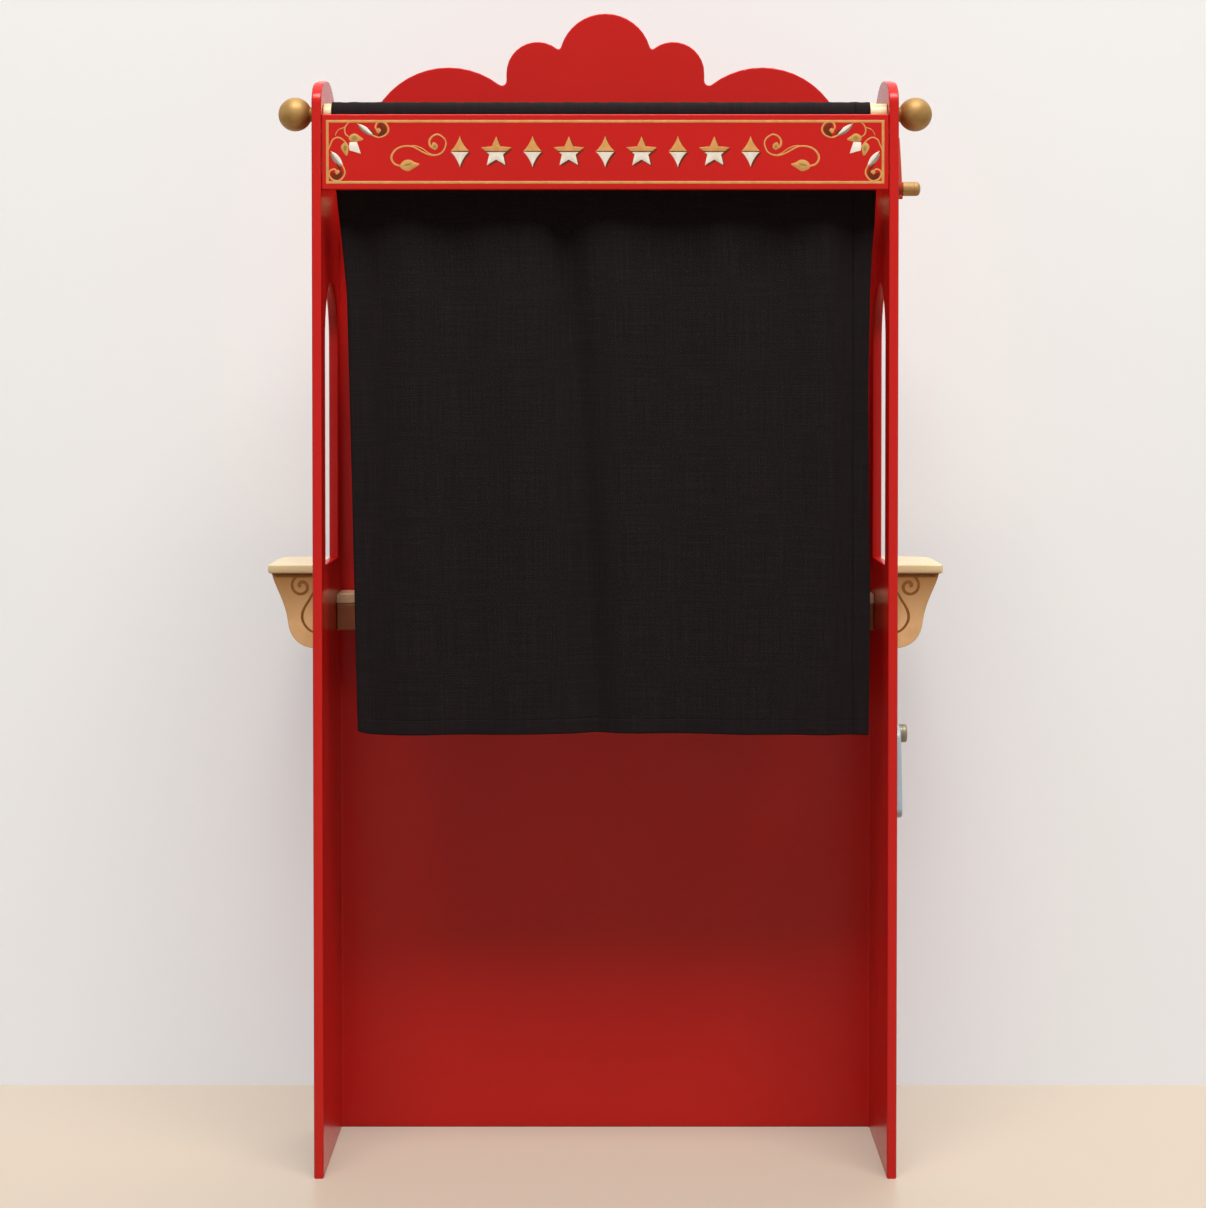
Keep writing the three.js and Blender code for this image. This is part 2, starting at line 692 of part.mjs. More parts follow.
// One front curtain and its leading hem. Side is -1 for the left one and 1 for the right one.
function frontCurtainPieces(side, label) {
  const fixedX = side * (bracketCentreX - bracketWidth / 2 - seatGap);
  const meetX = side * frontCurtainMeet / 2;
  const reach = Math.abs(fixedX - meetX);
  const clothShare = (reach - frontHemWidth) / reach;
  const hemShare = (reach - frontHemWidth + seatGap) / reach;
  const bore = frontRodRadius + pocketClearance;
  const [fromX, toX] = side < 0 ? [fixedX, meetX] : [meetX, fixedX];
  const across = side < 0 ? (u) => u : (u) => 1 - u;
  const point = (u, v) => frontCurtainPoint(fixedX, meetX, u, v);
  const clothU = (u) => across(u) * clothShare;
  const hemU = (u) => hemShare + across(u) * (1 - hemShare);
  const cloth = sheetGeometry((u, v) => point(clothU(u), v), frontPleats * pleatColumns, frontClothRows,
    frontClothThickness);
  const hem = sheetGeometry((u, v) => point(hemU(u), v), frontHemColumns, frontClothRows,
    frontClothThickness);
  const edgeX = meetX + side * frontHemWidth;
  const clothEnds = side < 0 ? [fromX, edgeX] : [edgeX, toX];
  const hemEnds = side < 0 ? [edgeX + seatGap, toX] : [fromX, edgeX - seatGap];
  const clothPocket = pocketGeometry(...clothEnds, frontRodSetback, frontRodZ, bore, frontClothThickness);
  const hemPocket = pocketGeometry(...hemEnds, frontRodSetback, frontRodZ, bore, frontClothThickness);
  return [
    piece(`front_curtain_${label}`, joined(cloth, clothPocket), redVelvet),
    piece(`front_curtain_${label}_hem`, joined(hem, hemPocket), redVelvet),
  ];
}

function frontRodGeometry() {
  const half = innerHalfWidth - frontRodEndMargin;
  return bar(new THREE.Vector3(-half, 0, 0), new THREE.Vector3(half, 0, 0), frontRodRadius, rodSides);
}

// Wall bracket with an open cradle for the front rod, drawn in depth and height from the rod's axis
function bracketGeometry(originX) {
  const slot = frontRodRadius + cradleClearance;
  const wallY = frontPanelRear - seatGap - frontRodSetback;
  const plateY = wallY - bracketPlate;
  const armZ = -(slot + bracketArmDepth);
  const tipY = -(slot + bracketFinger);
  const profile = new THREE.Path();
  profile.moveTo(wallY, -bracketDrop);
  profile.lineTo(wallY, bracketRise);
  profile.lineTo(slot, bracketRise);
  profile.absarc(0, 0, slot, 0, -Math.PI, true);
  profile.lineTo(-slot, slot);
  profile.lineTo(tipY, slot);
  profile.absarc(tipY + bracketCorner, armZ + bracketCorner, bracketCorner, -Math.PI, -Math.PI / 2, false);
  profile.lineTo(plateY, armZ);
  profile.lineTo(plateY, -bracketDrop);
  const board = plainBoard(outlineFrom(profile), bracketWidth).applyMatrix4(sideFrame);
  return cut(board, screwBores(['bracket'], new THREE.Vector3(originX, frontRodSetback, frontRodZ)));
}

// Clock hand drawn from its boss: a blade that swells and comes to a narrow tip, and a short tail
function handGeometry(reach, tail, halfWidth) {
  const neck = handNeckShare * halfWidth;
  const boss = Math.asin(neck / handBossRadius);
  const edge = new THREE.Path();
  edge.moveTo(neck, -tail);
  edge.lineTo(neck, -handBossRadius * Math.cos(boss));
  edge.absarc(0, 0, handBossRadius, boss - Math.PI / 2, Math.PI / 2 - boss, false);
  edge.quadraticCurveTo(halfWidth, handSwellShare * reach, handTipHalfWidth, reach);
  const board = plainBoard(mirroredOutline(edge), handThickness).applyMatrix4(sideFrame);
  return cut(board, [boreX(-cutOverrun, handThickness + cutOverrun, 0, 0, pivotRadius + pivotClearance)]);
}

// Round knob on a pivot: the stem runs back through what turns on it and into the panel
function knobGeometry(radius, length, stem) {
  const crown = knobCrownShare * radius;
  const rise = Math.sqrt(crown * crown - radius * radius);
  const centre = length - crown;
  return turned([
    [0, -stem],
    [pivotRadius, -stem],
    [pivotRadius, 0],
    [radius, 0],
    ...ballProfile(crown, centre, rise, knobRings),
  ], holeSides, unitX);
}

function spacerGeometry() {
  const bore = pivotRadius + pivotClearance;
  return turned([
    [bore, 0],
    [clockSpacerRadius, 0],
    [clockSpacerRadius, clockSpacerLength],
    [bore, clockSpacerLength],
    [bore, 0],
  ], holeSides, unitX);
}

// Sign plate that flares from its round head, with the pivot hole, to its lower edge, drawn from the
// pivot. The lower corner's arc touches the lower edge and the flared side.
function signGeometry() {
  const topZ = signPivotDrop;
  const lowZ = topZ - signHeight;
  const half = signWidth / 2;
  const headHalf = signHeadWidth / 2;
  const shoulderZ = topZ - signShoulderDrop;
  const flare = Math.atan2(half - headHalf, shoulderZ - lowZ);
  const cornerZ = lowZ + signCorner;
  const cornerX = headHalf + (Math.sin(flare) * (shoulderZ - cornerZ) - signCorner) / Math.cos(flare);
  const edge = new THREE.Path();
  edge.moveTo(0, lowZ);
  edge.lineTo(cornerX, lowZ);
  edge.absarc(cornerX, cornerZ, signCorner, -Math.PI / 2, flare, false);
  edge.absellipse(0, shoulderZ, headHalf, signShoulderDrop, 0, Math.PI / 2, false);
  const board = easedBoard(mirroredOutline(edge), signThickness).applyMatrix4(sideFrame);
  return cut(board, [boreX(-cutOverrun, signThickness + cutOverrun, 0, 0, pivotRadius + pivotClearance)]);
}

// Countersunk screw with a hexagon socket, or the bore for it, which is wider by a clearance. The top
// of the head is at zero height.
function screwProfile(length, clearance) {
  const shank = screwShankRadius + clearance;
  const head = screwHeadRadius + clearance;
  return [
    [0, -length],
    [shank, screwTipLength - length],
    [shank, -screwHeadEdge - screwHeadHeight],
    [head, -screwHeadEdge],
  ];
}

function screwGeometry(length) {
  const profile = [...screwProfile(length, 0), [screwHeadRadius, 0], [0, 0]];
  const from = new THREE.Vector3(0, -screwSocketDepth, 0);
  const to = new THREE.Vector3(0, cutOverrun, 0);
  return cut(turned(profile, screwSides), [bar(from, to, screwSocketRadius, socketSides)]);
}

// Every screw: its kind, its name, the point on the face that it enters by and the way that it faces
function screwPlaces() {
  const rearward = unitY.clone().negate();
  const sideways = [
    ...panelScrewHeights.map((z, i) => ({ kind: 'panel', number: i + 1, y: frontPanelMiddle, z })),
    ...headerScrewHeights.map((z, i) => ({ kind: 'header', number: i + 1, y: boardThickness / 2, z })),
    ...ledgeScrewSetbacks.map((y, i) => ({ kind: 'ledge', number: i + 1, y, z: ledgeScrewZ })),
  ];
  const plateRear = frontPanelRear - seatGap - bracketPlate;
  return [
    ...sideways.flatMap(({ kind, number, y, z }) => bothSides.map(([side, label]) => ({
      kind,
      name: `${kind}_screw_${label}_${number}`,
      length: panelScrewLength,
      place: new THREE.Vector3(side * standWidth / 2, y, z),
      outward: unitX.clone().multiplyScalar(side),
    }))),
    ...shelfScrewOffsets.map((x, i) => ({
      kind: 'shelf',
      name: `shelf_screw_${i + 1}`,
      length: shelfScrewLength,
      place: new THREE.Vector3(x, frontPanelRear, cleatCentreZ),
      outward: rearward,
    })),
    ...bothSides.map(([side, label]) => ({
      kind: 'bracket',
      name: `bracket_screw_${label}`,
      length: bracketScrewLength,
      place: new THREE.Vector3(side * bracketCentreX, plateRear, bracketScrewZ),
      outward: rearward,
    })),
  ];
}

function screws() {
  return screwPlaces().map(({ name, length, place, outward }) => {
    const mesh = piece(name, screwGeometry(length), zincSteel);
    mesh.quaternion.setFromUnitVectors(unitY, outward);
    mesh.position.copy(place).addScaledVector(outward, -seatGap);
    return mesh;
  });
}

// Bores and countersinks of the screws of some kinds, for a piece that is drawn from an origin
function screwBores(kinds, origin) {
  return screwPlaces().filter(({ kind }) => kinds.includes(kind)).map(({ length, place, outward }) => {
    const rim = screwHeadRadius + screwClearance;
    const profile = screwProfile(length + 2 * seatGap, screwClearance);
    const { x, y, z } = place.clone().sub(origin);
    const cutter = turned([...profile, [rim, cutOverrun], [0, cutOverrun]], screwSides, outward);
    return cutter.translate(x, y, z);
  });
}

function placed(mesh, x, y, z) {
  mesh.position.set(x, y, z);
  return mesh;
}

function boards() {
  const outerX = standWidth / 2;
  const pivotHeights = [clockZ, signPivotZ];
  return [
    placed(piece('side_panel_left', sidePanelGeometry(-outerX, []), redLacquer), -outerX, 0, 0),
    placed(piece('side_panel_right', sidePanelGeometry(innerHalfWidth, pivotHeights), redLacquer),
      innerHalfWidth, 0, 0),
    placed(piece('front_panel', frontPanelGeometry(), redLacquer), 0, frontPanelRear, 0),
    piece('header_board', headerGeometry(), redLacquer),
    piece('stage_shelf', shelfGeometry(), creamPaint),
    placed(piece('shelf_cleat', cleatGeometry(), redLacquer), 0, sideDepth + seatGap, 0),
    piece('inner_ledge', ledgeGeometry(), creamPaint),
    placed(piece('ledge_apron', apronGeometry(), goldPaint), 0, ledgeRear, 0),
  ];
}

function corbels() {
  const footX = standWidth / 2 + seatGap;
  const rearY = sideDepth - corbelThickness;
  const footZ = shelfUnderZ - seatGap - corbelHeight;
  const right = piece('corbel_right', corbelGeometry(), goldPaint);
  const left = piece('corbel_left', corbelGeometry(), goldPaint);
  left.rotation.z = Math.PI;
  return [placed(left, -footX, rearY + corbelThickness, footZ), placed(right, footX, rearY, footZ)];
}

function rearRod() {
  const outerX = standWidth / 2 + seatGap;
  const finials = bothSides.map(([side, label]) => {
    const mesh = piece(`rod_finial_${label}`, finialGeometry(), goldPaint);
    mesh.quaternion.setFromUnitVectors(unitY, unitX.clone().multiplyScalar(side));
    return placed(mesh, side * outerX, rodSetback, rodZ);
  });
  const rod = placed(piece('rear_curtain_rod', rearRodGeometry(), paleWood), 0, rodSetback, rodZ);
  return [rod, ...finials];
}

function frontRod() {
  const brackets = bothSides.map(([side, label]) => {
    const originX = side * bracketCentreX - bracketWidth / 2;
    const mesh = piece(`rod_bracket_${label}`, bracketGeometry(originX), paleWood);
    return placed(mesh, originX, frontRodSetback, frontRodZ);
  });
  const rod = piece('front_curtain_rod', frontRodGeometry(), paleWood);
  return [placed(rod, 0, frontRodSetback, frontRodZ), ...brackets];
}

// Clock on the right side panel: spacer, hour hand, minute hand and the knob that they turn on
function clock() {
  const outerX = standWidth / 2;
  const stem = clockKnobSeat + pivotSeatDepth;
  const knob = piece('clock_knob', knobGeometry(clockKnobRadius, clockKnobLength, stem), goldPaint);
  const spacer = piece('clock_spacer', spacerGeometry(), paleWood);
  const hourShape = handGeometry(hourHandReach, hourHandTail, hourHandHalfWidth);
  const minuteShape = handGeometry(minuteHandReach, minuteHandTail, minuteHandHalfWidth);
  const hourHand = piece('hour_hand', hourShape, goldPaint);
  const minuteHand = piece('minute_hand', minuteShape, goldPaint);
  hourHand.rotation.x = -THREE.MathUtils.degToRad(hourHandAngle);
  minuteHand.rotation.x = -THREE.MathUtils.degToRad(minuteHandAngle);
  return [
    placed(spacer, outerX + seatGap, fittingSetback, clockZ),
    placed(hourHand, outerX + hourHandSeat, fittingSetback, clockZ),
    placed(minuteHand, outerX + minuteHandSeat, fittingSetback, clockZ),
    placed(knob, outerX + clockKnobSeat, fittingSetback, clockZ),
  ];
}

function sign() {
  const outerX = standWidth / 2;
  const knobSeat = seatGap + signThickness + seatGap;
  const stem = knobSeat + pivotSeatDepth;
  const knob = piece('sign_knob', knobGeometry(signKnobRadius, signKnobLength, stem), goldPaint);
  return [
    placed(piece('sign_plate', signGeometry(), skyPaint), outerX + seatGap, fittingSetback, signPivotZ),
    placed(knob, outerX + knobSeat, fittingSetback, signPivotZ),
  ];
}

const stand = new THREE.Group();
const fromRearEdges = new THREE.Group();
fromRearEdges.position.y = -overallDepth / 2;
fromRearEdges.add(
  ...boards(),
  ...corbels(),
  ...rearRod(),
  ...rearCurtainPieces(),
  ...frontRod(),
  ...frontCurtainPieces(-1, 'left'),
  ...frontCurtainPieces(1, 'right'),
  ...clock(),
  ...sign(),
  ...screws(),
);
stand.add(fromRearEdges);

export default stand;
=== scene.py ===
import math

import bmesh
import bpy
import numpy as np
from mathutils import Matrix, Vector


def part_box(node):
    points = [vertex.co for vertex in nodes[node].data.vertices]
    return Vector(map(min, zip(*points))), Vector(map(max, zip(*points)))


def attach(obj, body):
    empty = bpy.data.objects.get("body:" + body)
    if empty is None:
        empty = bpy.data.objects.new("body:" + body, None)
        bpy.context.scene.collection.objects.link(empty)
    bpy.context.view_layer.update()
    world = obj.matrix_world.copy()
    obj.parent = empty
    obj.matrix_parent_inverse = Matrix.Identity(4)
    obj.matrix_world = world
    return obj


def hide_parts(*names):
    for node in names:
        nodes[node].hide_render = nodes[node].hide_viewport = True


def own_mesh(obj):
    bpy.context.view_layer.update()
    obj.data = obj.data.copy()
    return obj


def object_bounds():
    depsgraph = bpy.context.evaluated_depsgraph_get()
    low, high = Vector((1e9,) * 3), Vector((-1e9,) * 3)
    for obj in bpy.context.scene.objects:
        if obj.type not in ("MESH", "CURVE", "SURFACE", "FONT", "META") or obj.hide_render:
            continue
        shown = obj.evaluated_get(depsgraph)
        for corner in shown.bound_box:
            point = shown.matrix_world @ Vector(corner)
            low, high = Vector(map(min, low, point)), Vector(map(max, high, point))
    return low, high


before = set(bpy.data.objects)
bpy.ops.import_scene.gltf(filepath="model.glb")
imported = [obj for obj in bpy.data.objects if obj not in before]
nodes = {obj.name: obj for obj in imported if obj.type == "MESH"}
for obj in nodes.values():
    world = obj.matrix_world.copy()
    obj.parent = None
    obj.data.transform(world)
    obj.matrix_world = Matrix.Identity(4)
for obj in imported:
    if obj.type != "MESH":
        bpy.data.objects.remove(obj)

# Puppet theater stand. Metres, +Z up, the puppeteer's side faces -Y and the audience's side +Y.
# Drawings on a face and the sizes of turned pieces are in millimetres and are scaled by mm.
mm = 0.001
weldWithin = 1e-7
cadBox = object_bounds()
rearY = cadBox[0].y  # rear edges of the side panels


def corners(node):
    low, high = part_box(node)
    return np.array(low), np.array(high)


def middle(node):
    low, high = corners(node)
    return (low + high) / 2


# Camera, fitted to the stand's own corners
cameraPlace = dict(
    x=0.00272, backFromRear=2.385, height=0.74496, tiltDown=1.296, lens=77.31, sensor=36.0,
    shiftX=-0.00427, shiftY=-0.14112, nearest=0.1, furthest=60.0,
)


def makeCamera(place):
    data = bpy.data.cameras.new("camera")
    data.sensor_fit = "HORIZONTAL"
    data.sensor_width = place["sensor"]
    data.lens = place["lens"]
    data.shift_x, data.shift_y = place["shiftX"], place["shiftY"]
    data.clip_start, data.clip_end = place["nearest"], place["furthest"]
    camera = bpy.data.objects.new("camera", data)
    camera.location = (place["x"], rearY - place["backFromRear"], place["height"])
    camera.rotation_euler = (math.radians(90 - place["tiltDown"]), 0, 0)
    bpy.context.collection.objects.link(camera)
    bpy.context.scene.camera = camera


# Material helpers. A value is a number, a vector or another node's output.
def linear(code):
    # sRGB hex code to the linear numbers that shaders take
    values = [((code >> shift) & 255) / 255 for shift in (16, 8, 0)]
    return tuple(v / 12.92 if v <= 0.04045 else ((v + 0.055) / 1.055) ** 2.4 for v in values)


def newMaterial(name, colour, roughness, sockets=None):
    material = bpy.data.materials.new(name)
    material.use_nodes = True
    shader = material.node_tree.nodes["Principled BSDF"]
    shader.inputs["Base Color"].default_value = (*linear(colour), 1)
    shader.inputs["Roughness"].default_value = roughness
    for socket, value in (sockets or {}).items():
        shader.inputs[socket].default_value = value
    return material, shader


def connect(owner, output, node, socket):
    owner.node_tree.links.new(output, node.inputs[socket])


def addNode(owner, kind, inputs=None, **settings):
    node = owner.node_tree.nodes.new(kind)
    for key, value in settings.items():
        setattr(node, key, value)
    for key, value in (inputs or {}).items():
        if isinstance(value, bpy.types.NodeSocket):
            connect(owner, value, node, key)
        else:
            node.inputs[key].default_value = value
    return node


def compute(owner, operation, *values):
    return addNode(owner, "ShaderNodeMath", dict(enumerate(values)), operation=operation).outputs[0]


def stretched(material, point, scale):
    return addNode(material, "ShaderNodeMapping", {"Vector": point, "Scale": scale}).outputs["Vector"]


def noise(material, point, scale, detail=3.0, roughness=0.5, distortion=0.0):
    node = addNode(material, "ShaderNodeTexNoise", {
        "Vector": point, "Scale": scale, "Detail": detail, "Roughness": roughness, "Distortion": distortion})
    return node.outputs["Fac"]


def objectNoise(material, scale, detail, roughness=0.5, distortion=0.0, stretch=(1, 1, 1)):
    # Noise on the piece's own place, drawn out into strokes or fibres by unequal stretch
    place = addNode(material, "ShaderNodeTexCoord").outputs["Object"]
    return noise(material, stretched(material, place, stretch), scale, detail, roughness, distortion)


def ramp(owner, factor, low, high, fromValue=0.0, toValue=1.0):
    node = addNode(owner, "ShaderNodeMapRange", {
        "Value": factor, "From Min": low, "From Max": high, "To Min": fromValue, "To Max": toValue})
    return node.outputs["Result"]


def blendColours(material, factor, first, second):
    # Each colour is a hex code or another node's output
    tones = [c if isinstance(c, bpy.types.NodeSocket) else (*linear(c), 1) for c in (first, second)]
    node = addNode(material, "ShaderNodeMix", {0: factor, 6: tones[0], 7: tones[1]}, data_type="RGBA")
    return node.outputs[2]


def bumpInto(material, shader, height, distance, strength=1.0):
    node = addNode(material, "ShaderNodeBump", {"Height": height, "Distance": distance, "Strength": strength})
    connect(material, node.outputs["Normal"], shader, "Normal")


# Floor, wall and light
roomLook = dict(
    floor=dict(name="floorPaint", colour=0x998A78, roughness=0.35, seen=0xE8DCCE, glow=0.3),
    wall=dict(name="wallPaint", colour=0xBDBAB4, roughness=0.85, seen=0xEFF2F6, glow=0.42),
    wallBehindFront=0.045, floorReach=7.0, wallHeight=5.0,
)
skyLight = dict(low=0.06, high=0.18, seen=0.86, lowUpTo=0.1, highFrom=0.7)
lampTable = [
    # name, place, aimed at, width, height, watts
    ("keyLamp", (0.25, -2.2, 5.4), (0, 0, 0.5), 4.0, 1.9, 440),
    ("frontLamp", (0.8, 2.4, 3.6), (0, 0, 0.5), 3.0, 1.6, 90),
]


def seenDirectly(owner):
    # 1 for what the camera, a gloss or a clear piece sees, and 0 for light that falls on the stand
    ray = addNode(owner, "ShaderNodeLightPath").outputs
    seen = compute(owner, "MAXIMUM", ray["Is Camera Ray"], ray["Is Glossy Ray"])
    return compute(owner, "MAXIMUM", seen, ray["Is Transmission Ray"])


def glowingPaint(name, colour, roughness, seen, glow):
    # Takes light as any paint does, and is a little brighter where it is seen directly
    material, shader = newMaterial(name, colour, roughness)
    shader.inputs["Emission Color"].default_value = (*linear(seen), 1)
    strength = compute(material, "MULTIPLY", seenDirectly(material), glow)
    connect(material, strength, shader, "Emission Strength")
    return material, shader


def makeRoom(look):
    floorPaint = glowingPaint(**look["floor"])[0]
    wallPaint, wallShader = glowingPaint(**look["wall"])
    reach, top = look["floorReach"], look["wallHeight"]
    wallY = cadBox[1].y + look["wallBehindFront"]
    floorCorners = [(-reach, -reach, 0), (reach, -reach, 0), (reach, reach, 0), (-reach, reach, 0)]
    wallCorners = [(-reach, wallY, 0), (reach, wallY, 0), (reach, wallY, top), (-reach, wallY, top)]
    floor = arrayPiece("floor", floorCorners, [(0, 1, 2, 3)], floorPaint)
    wall = arrayPiece("backdrop", wallCorners, [(0, 1, 2, 3)], wallPaint)
    # The backdrop isn't there for what looks or lights from its other side
    away = addNode(wallPaint, "ShaderNodeNewGeometry").outputs["Backfacing"]
    lit = addNode(wallPaint, "ShaderNodeLightPath").outputs["Is Shadow Ray"]
    clear = addNode(wallPaint, "ShaderNodeBsdfTransparent").outputs[0]
    mix = addNode(wallPaint, "ShaderNodeMixShader", {
        0: compute(wallPaint, "MAXIMUM", away, lit), 1: wallShader.outputs[0], 2: clear})
    connect(wallPaint, mix.outputs[0], wallPaint.node_tree.nodes["Material Output"], "Surface")


def makeSky(look):
    # Light from the sky grows with height; where it is seen directly it is one even pale tone
    world = bpy.data.worlds.new("studio")
    world.use_nodes = True
    direction = addNode(world, "ShaderNodeTexCoord").outputs["Generated"]
    height = addNode(world, "ShaderNodeSeparateXYZ", {"Vector": direction}).outputs["Z"]
    light = ramp(world, height, look["lowUpTo"], look["highFrom"], look["low"], look["high"])
    seen = addNode(world, "ShaderNodeMix", {"Factor": seenDirectly(world), "A": light, "B": look["seen"]})
    background = world.node_tree.nodes["Background"]
    background.inputs["Color"].default_value = (1, 1, 1, 1)
    connect(world, seen.outputs["Result"], background, "Strength")
    bpy.context.scene.world = world


def makeLamps(lamps):
    for name, place, target, width, height, watts in lamps:
        data = bpy.data.lights.new(name, "AREA")
        data.shape, data.size, data.size_y, data.energy = "RECTANGLE", width, height, watts
        lamp = bpy.data.objects.new(name, data)
        lamp.location = place
        lamp.rotation_euler = (Vector(target) - Vector(place)).to_track_quat("-Z", "Y").to_euler()
        bpy.context.collection.objects.link(lamp)


# Mesh helpers: every new shape is an array of points and an array of quads
def arrayPiece(name, points, quads, material, uv=None, smooth=False, closed=False):
    # A closed piece has its doubled points merged and its faces turned outwards
    quads = np.asarray(quads)
    mesh = bpy.data.meshes.new(name)
    mesh.from_pydata(np.asarray(points, float).tolist(), [], quads.tolist())
    if uv is not None:
        layer = mesh.uv_layers.new(name="flat")
        layer.data.foreach_set("uv", np.asarray(uv, np.float32)[quads.ravel()].ravel())
    if closed:
        work = bmesh.new()
        work.from_mesh(mesh)
        bmesh.ops.remove_doubles(work, verts=work.verts, dist=weldWithin)
        bmesh.ops.recalc_face_normals(work, faces=work.faces)
        work.to_mesh(mesh)
        work.free()
    mesh.polygons.foreach_set("use_smooth", [smooth] * len(mesh.polygons))
    mesh.materials.append(material)
    piece = bpy.data.objects.new(name, mesh)
    bpy.context.collection.objects.link(piece)
    return piece


def gridQuads(rows, columns, wrapRows=False, wrapColumns=False):
    # Point (i, j) of a grid has the number i * columns + j
    i = np.arange(rows if wrapRows else rows - 1)[:, None]
    j = np.arange(columns if wrapColumns else columns - 1)[None, :]
    down, right = (i + 1) % rows, (j + 1) % columns
    here, below = i * columns, down * columns
    quads = np.stack([here + j, below + j, below + right, here + right], axis=-1)
    return quads.reshape(-1, 4)


def stacked(parts):
    # Several (points, quads) as one
    points, quads, start = [], [], 0
    for somePoints, someQuads in parts:
        points.append(somePoints)
        quads.append(someQuads + start)
        start += len(somePoints)
    return np.concatenate(points), np.concatenate(quads)


def dress(piece, body, slotName, *replaced):
    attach(piece, body)
    if replaced:
        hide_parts(*replaced)
    return piece


def curveThrough(run, place):
    # Catmull-Rom curve: between two points a cubic, with half the step between its neighbours as slope. The
    # run has one point more at each end, and place 0 is its second point.
    i = np.minimum(place.astype(int), len(run) - 4)
    f = (place - i)[:, None]
    a, b, c, d = run[i], run[i + 1], run[i + 2], run[i + 3]
    return b + 0.5 * f * (c - a + f * (2 * a - 5 * b + 4 * c - d + f * (3 * (b - c) + d - a)))


def smoothPath(points, count):
    p = np.asarray(points, float)
    run = np.vstack([2 * p[0] - p[1], p, 2 * p[-1] - p[-2]])
    return curveThrough(run, np.linspace(0, len(p) - 1, count))


def closedCurve(points, count=48):
    p = np.asarray(points, float)
    run = np.vstack([p[-1:], p, p[:2]])
    return curveThrough(run, np.linspace(0, len(p), count, endpoint=False))


def rise(share):
    # Smooth step from 0 to 1: t^2 (3 - 2 t)
    t = np.clip(share, 0, 1)
    return t * t * (3 - 2 * t)


# Paints, wood and steel. Clouds share out the two tones, shine swings the roughness and relief is a fine
# bump. Each is a noise with the range that is used of it, or its depth in metres.
creamBase = dict(
    clouds=dict(scale=3.0, detail=5.0, roughness=0.6, stretch=(9, 60, 60)), cloudRange=(0.35, 0.75),
    relief=dict(scale=2.0, detail=3.0, stretch=(60, 400, 400)), reliefDepth=0.00003,
)
woodFibre = dict(scale=2.0, detail=6.0, roughness=0.65, distortion=0.4, stretch=(14, 190, 190))
goldBase = dict(
    clouds=dict(scale=28.0, detail=6.0, roughness=0.6), cloudRange=(0.3, 0.75),
    shine=dict(scale=900.0, detail=3.0, roughness=0.6), shineSwing=(-0.05, 0.12),
    relief=dict(scale=900.0, detail=3.0, roughness=0.6),
)
finishLooks = dict(
    lacquer=dict(
        name="redLacquer", colour=0xCA1D16, deep=0xC51B15, roughness=0.22,
        sockets={"Specular IOR Level": 0.22}, clouds=dict(scale=5.0, detail=4.0), cloudRange=(0.35, 0.7),
        shine=dict(scale=9.0, detail=3.0), shineSwing=(0.0, 0.05),
        relief=dict(scale=420, detail=2.0), reliefDepth=0.00002),
    cream=dict(
        creamBase, name="creamPaint", colour=0xEEDCAE, deep=0xE6D09C, roughness=0.2,
        sockets={"Specular IOR Level": 0.25}),
    # Painted shade: a darker, redder copy of the cream paint for the ledge inside the booth, standing in for
    # its shade and the red light bounced onto it from the panels
    ledge=dict(
        creamBase, name="ledgeCreamShaded", colour=0xEAC49C, deep=0xDAB084, roughness=0.3,
        sockets={"Specular IOR Level": 0.4}),
    gold=dict(
        goldBase, name="goldPaint", colour=0xC09A5A, deep=0x8A6430, roughness=0.5,
        sockets={"Metallic": 0.5}, reliefDepth=0.00005),
    # Painted shade: a darker, redder copy of the gold paint for the apron under the ledge, standing in for
    # its shade inside the booth
    apron=dict(
        goldBase, name="apronGoldShaded", colour=0xA05E38, deep=0x884A2A, roughness=0.4,
        sockets={"Metallic": 0.1}, reliefDepth=0.00004),
    peg=dict(
        goldBase, name="pegPaint", colour=0xC8A068, deep=0xA8824C, roughness=0.55,
        sockets={"Metallic": 0.3}, reliefDepth=0.00003),
    knob=dict(
        goldBase, name="knobPaint", colour=0xA09680, deep=0x847A66, roughness=0.4,
        sockets={"Metallic": 0.25}, reliefDepth=0.00004),
    hand=dict(
        goldBase, name="handPaint", colour=0xC0442E, deep=0xA83824, roughness=0.6,
        sockets={"Metallic": 0.0, "Specular IOR Level": 0.1}, reliefDepth=0.00003),
    # Painted shade: the corbels' paint gets darker with height, from one height above the floor to the other,
    # standing in for the shelf slab's shadow on their upper part
    corbel=dict(
        goldBase, name="bracketPaintShadedTop", colour=0xF0CA92, deep=0xDCAE70, roughness=0.34,
        sockets={"Metallic": 0.2}, reliefDepth=0.00004, shade=0xA3743C, shadeHeights=(0.5, 0.548)),
    wood=dict(
        name="paleWood", colour=0xEBCFA0, deep=0xD2A970, roughness=0.42, sockets={"Coat Weight": 0.2},
        clouds=woodFibre, cloudRange=(0.38, 0.68), relief=woodFibre, reliefDepth=0.00005),
    sky=dict(
        name="skyPaint", colour=0xB8D2DA, deep=0xA2C2D0, roughness=0.36,
        clouds=dict(scale=20.0, detail=4.0), cloudRange=(0.3, 0.75),
        relief=dict(scale=500.0, detail=2.0), reliefDepth=0.00003),
    steel=dict(
        name="zincSteel", colour=0x8C8A86, roughness=0.36, sockets={"Metallic": 1.0},
        shine=dict(scale=1200.0, detail=3.0), shineSwing=(-0.12, 0.06)),
)
shineRange = (0.3, 0.7)
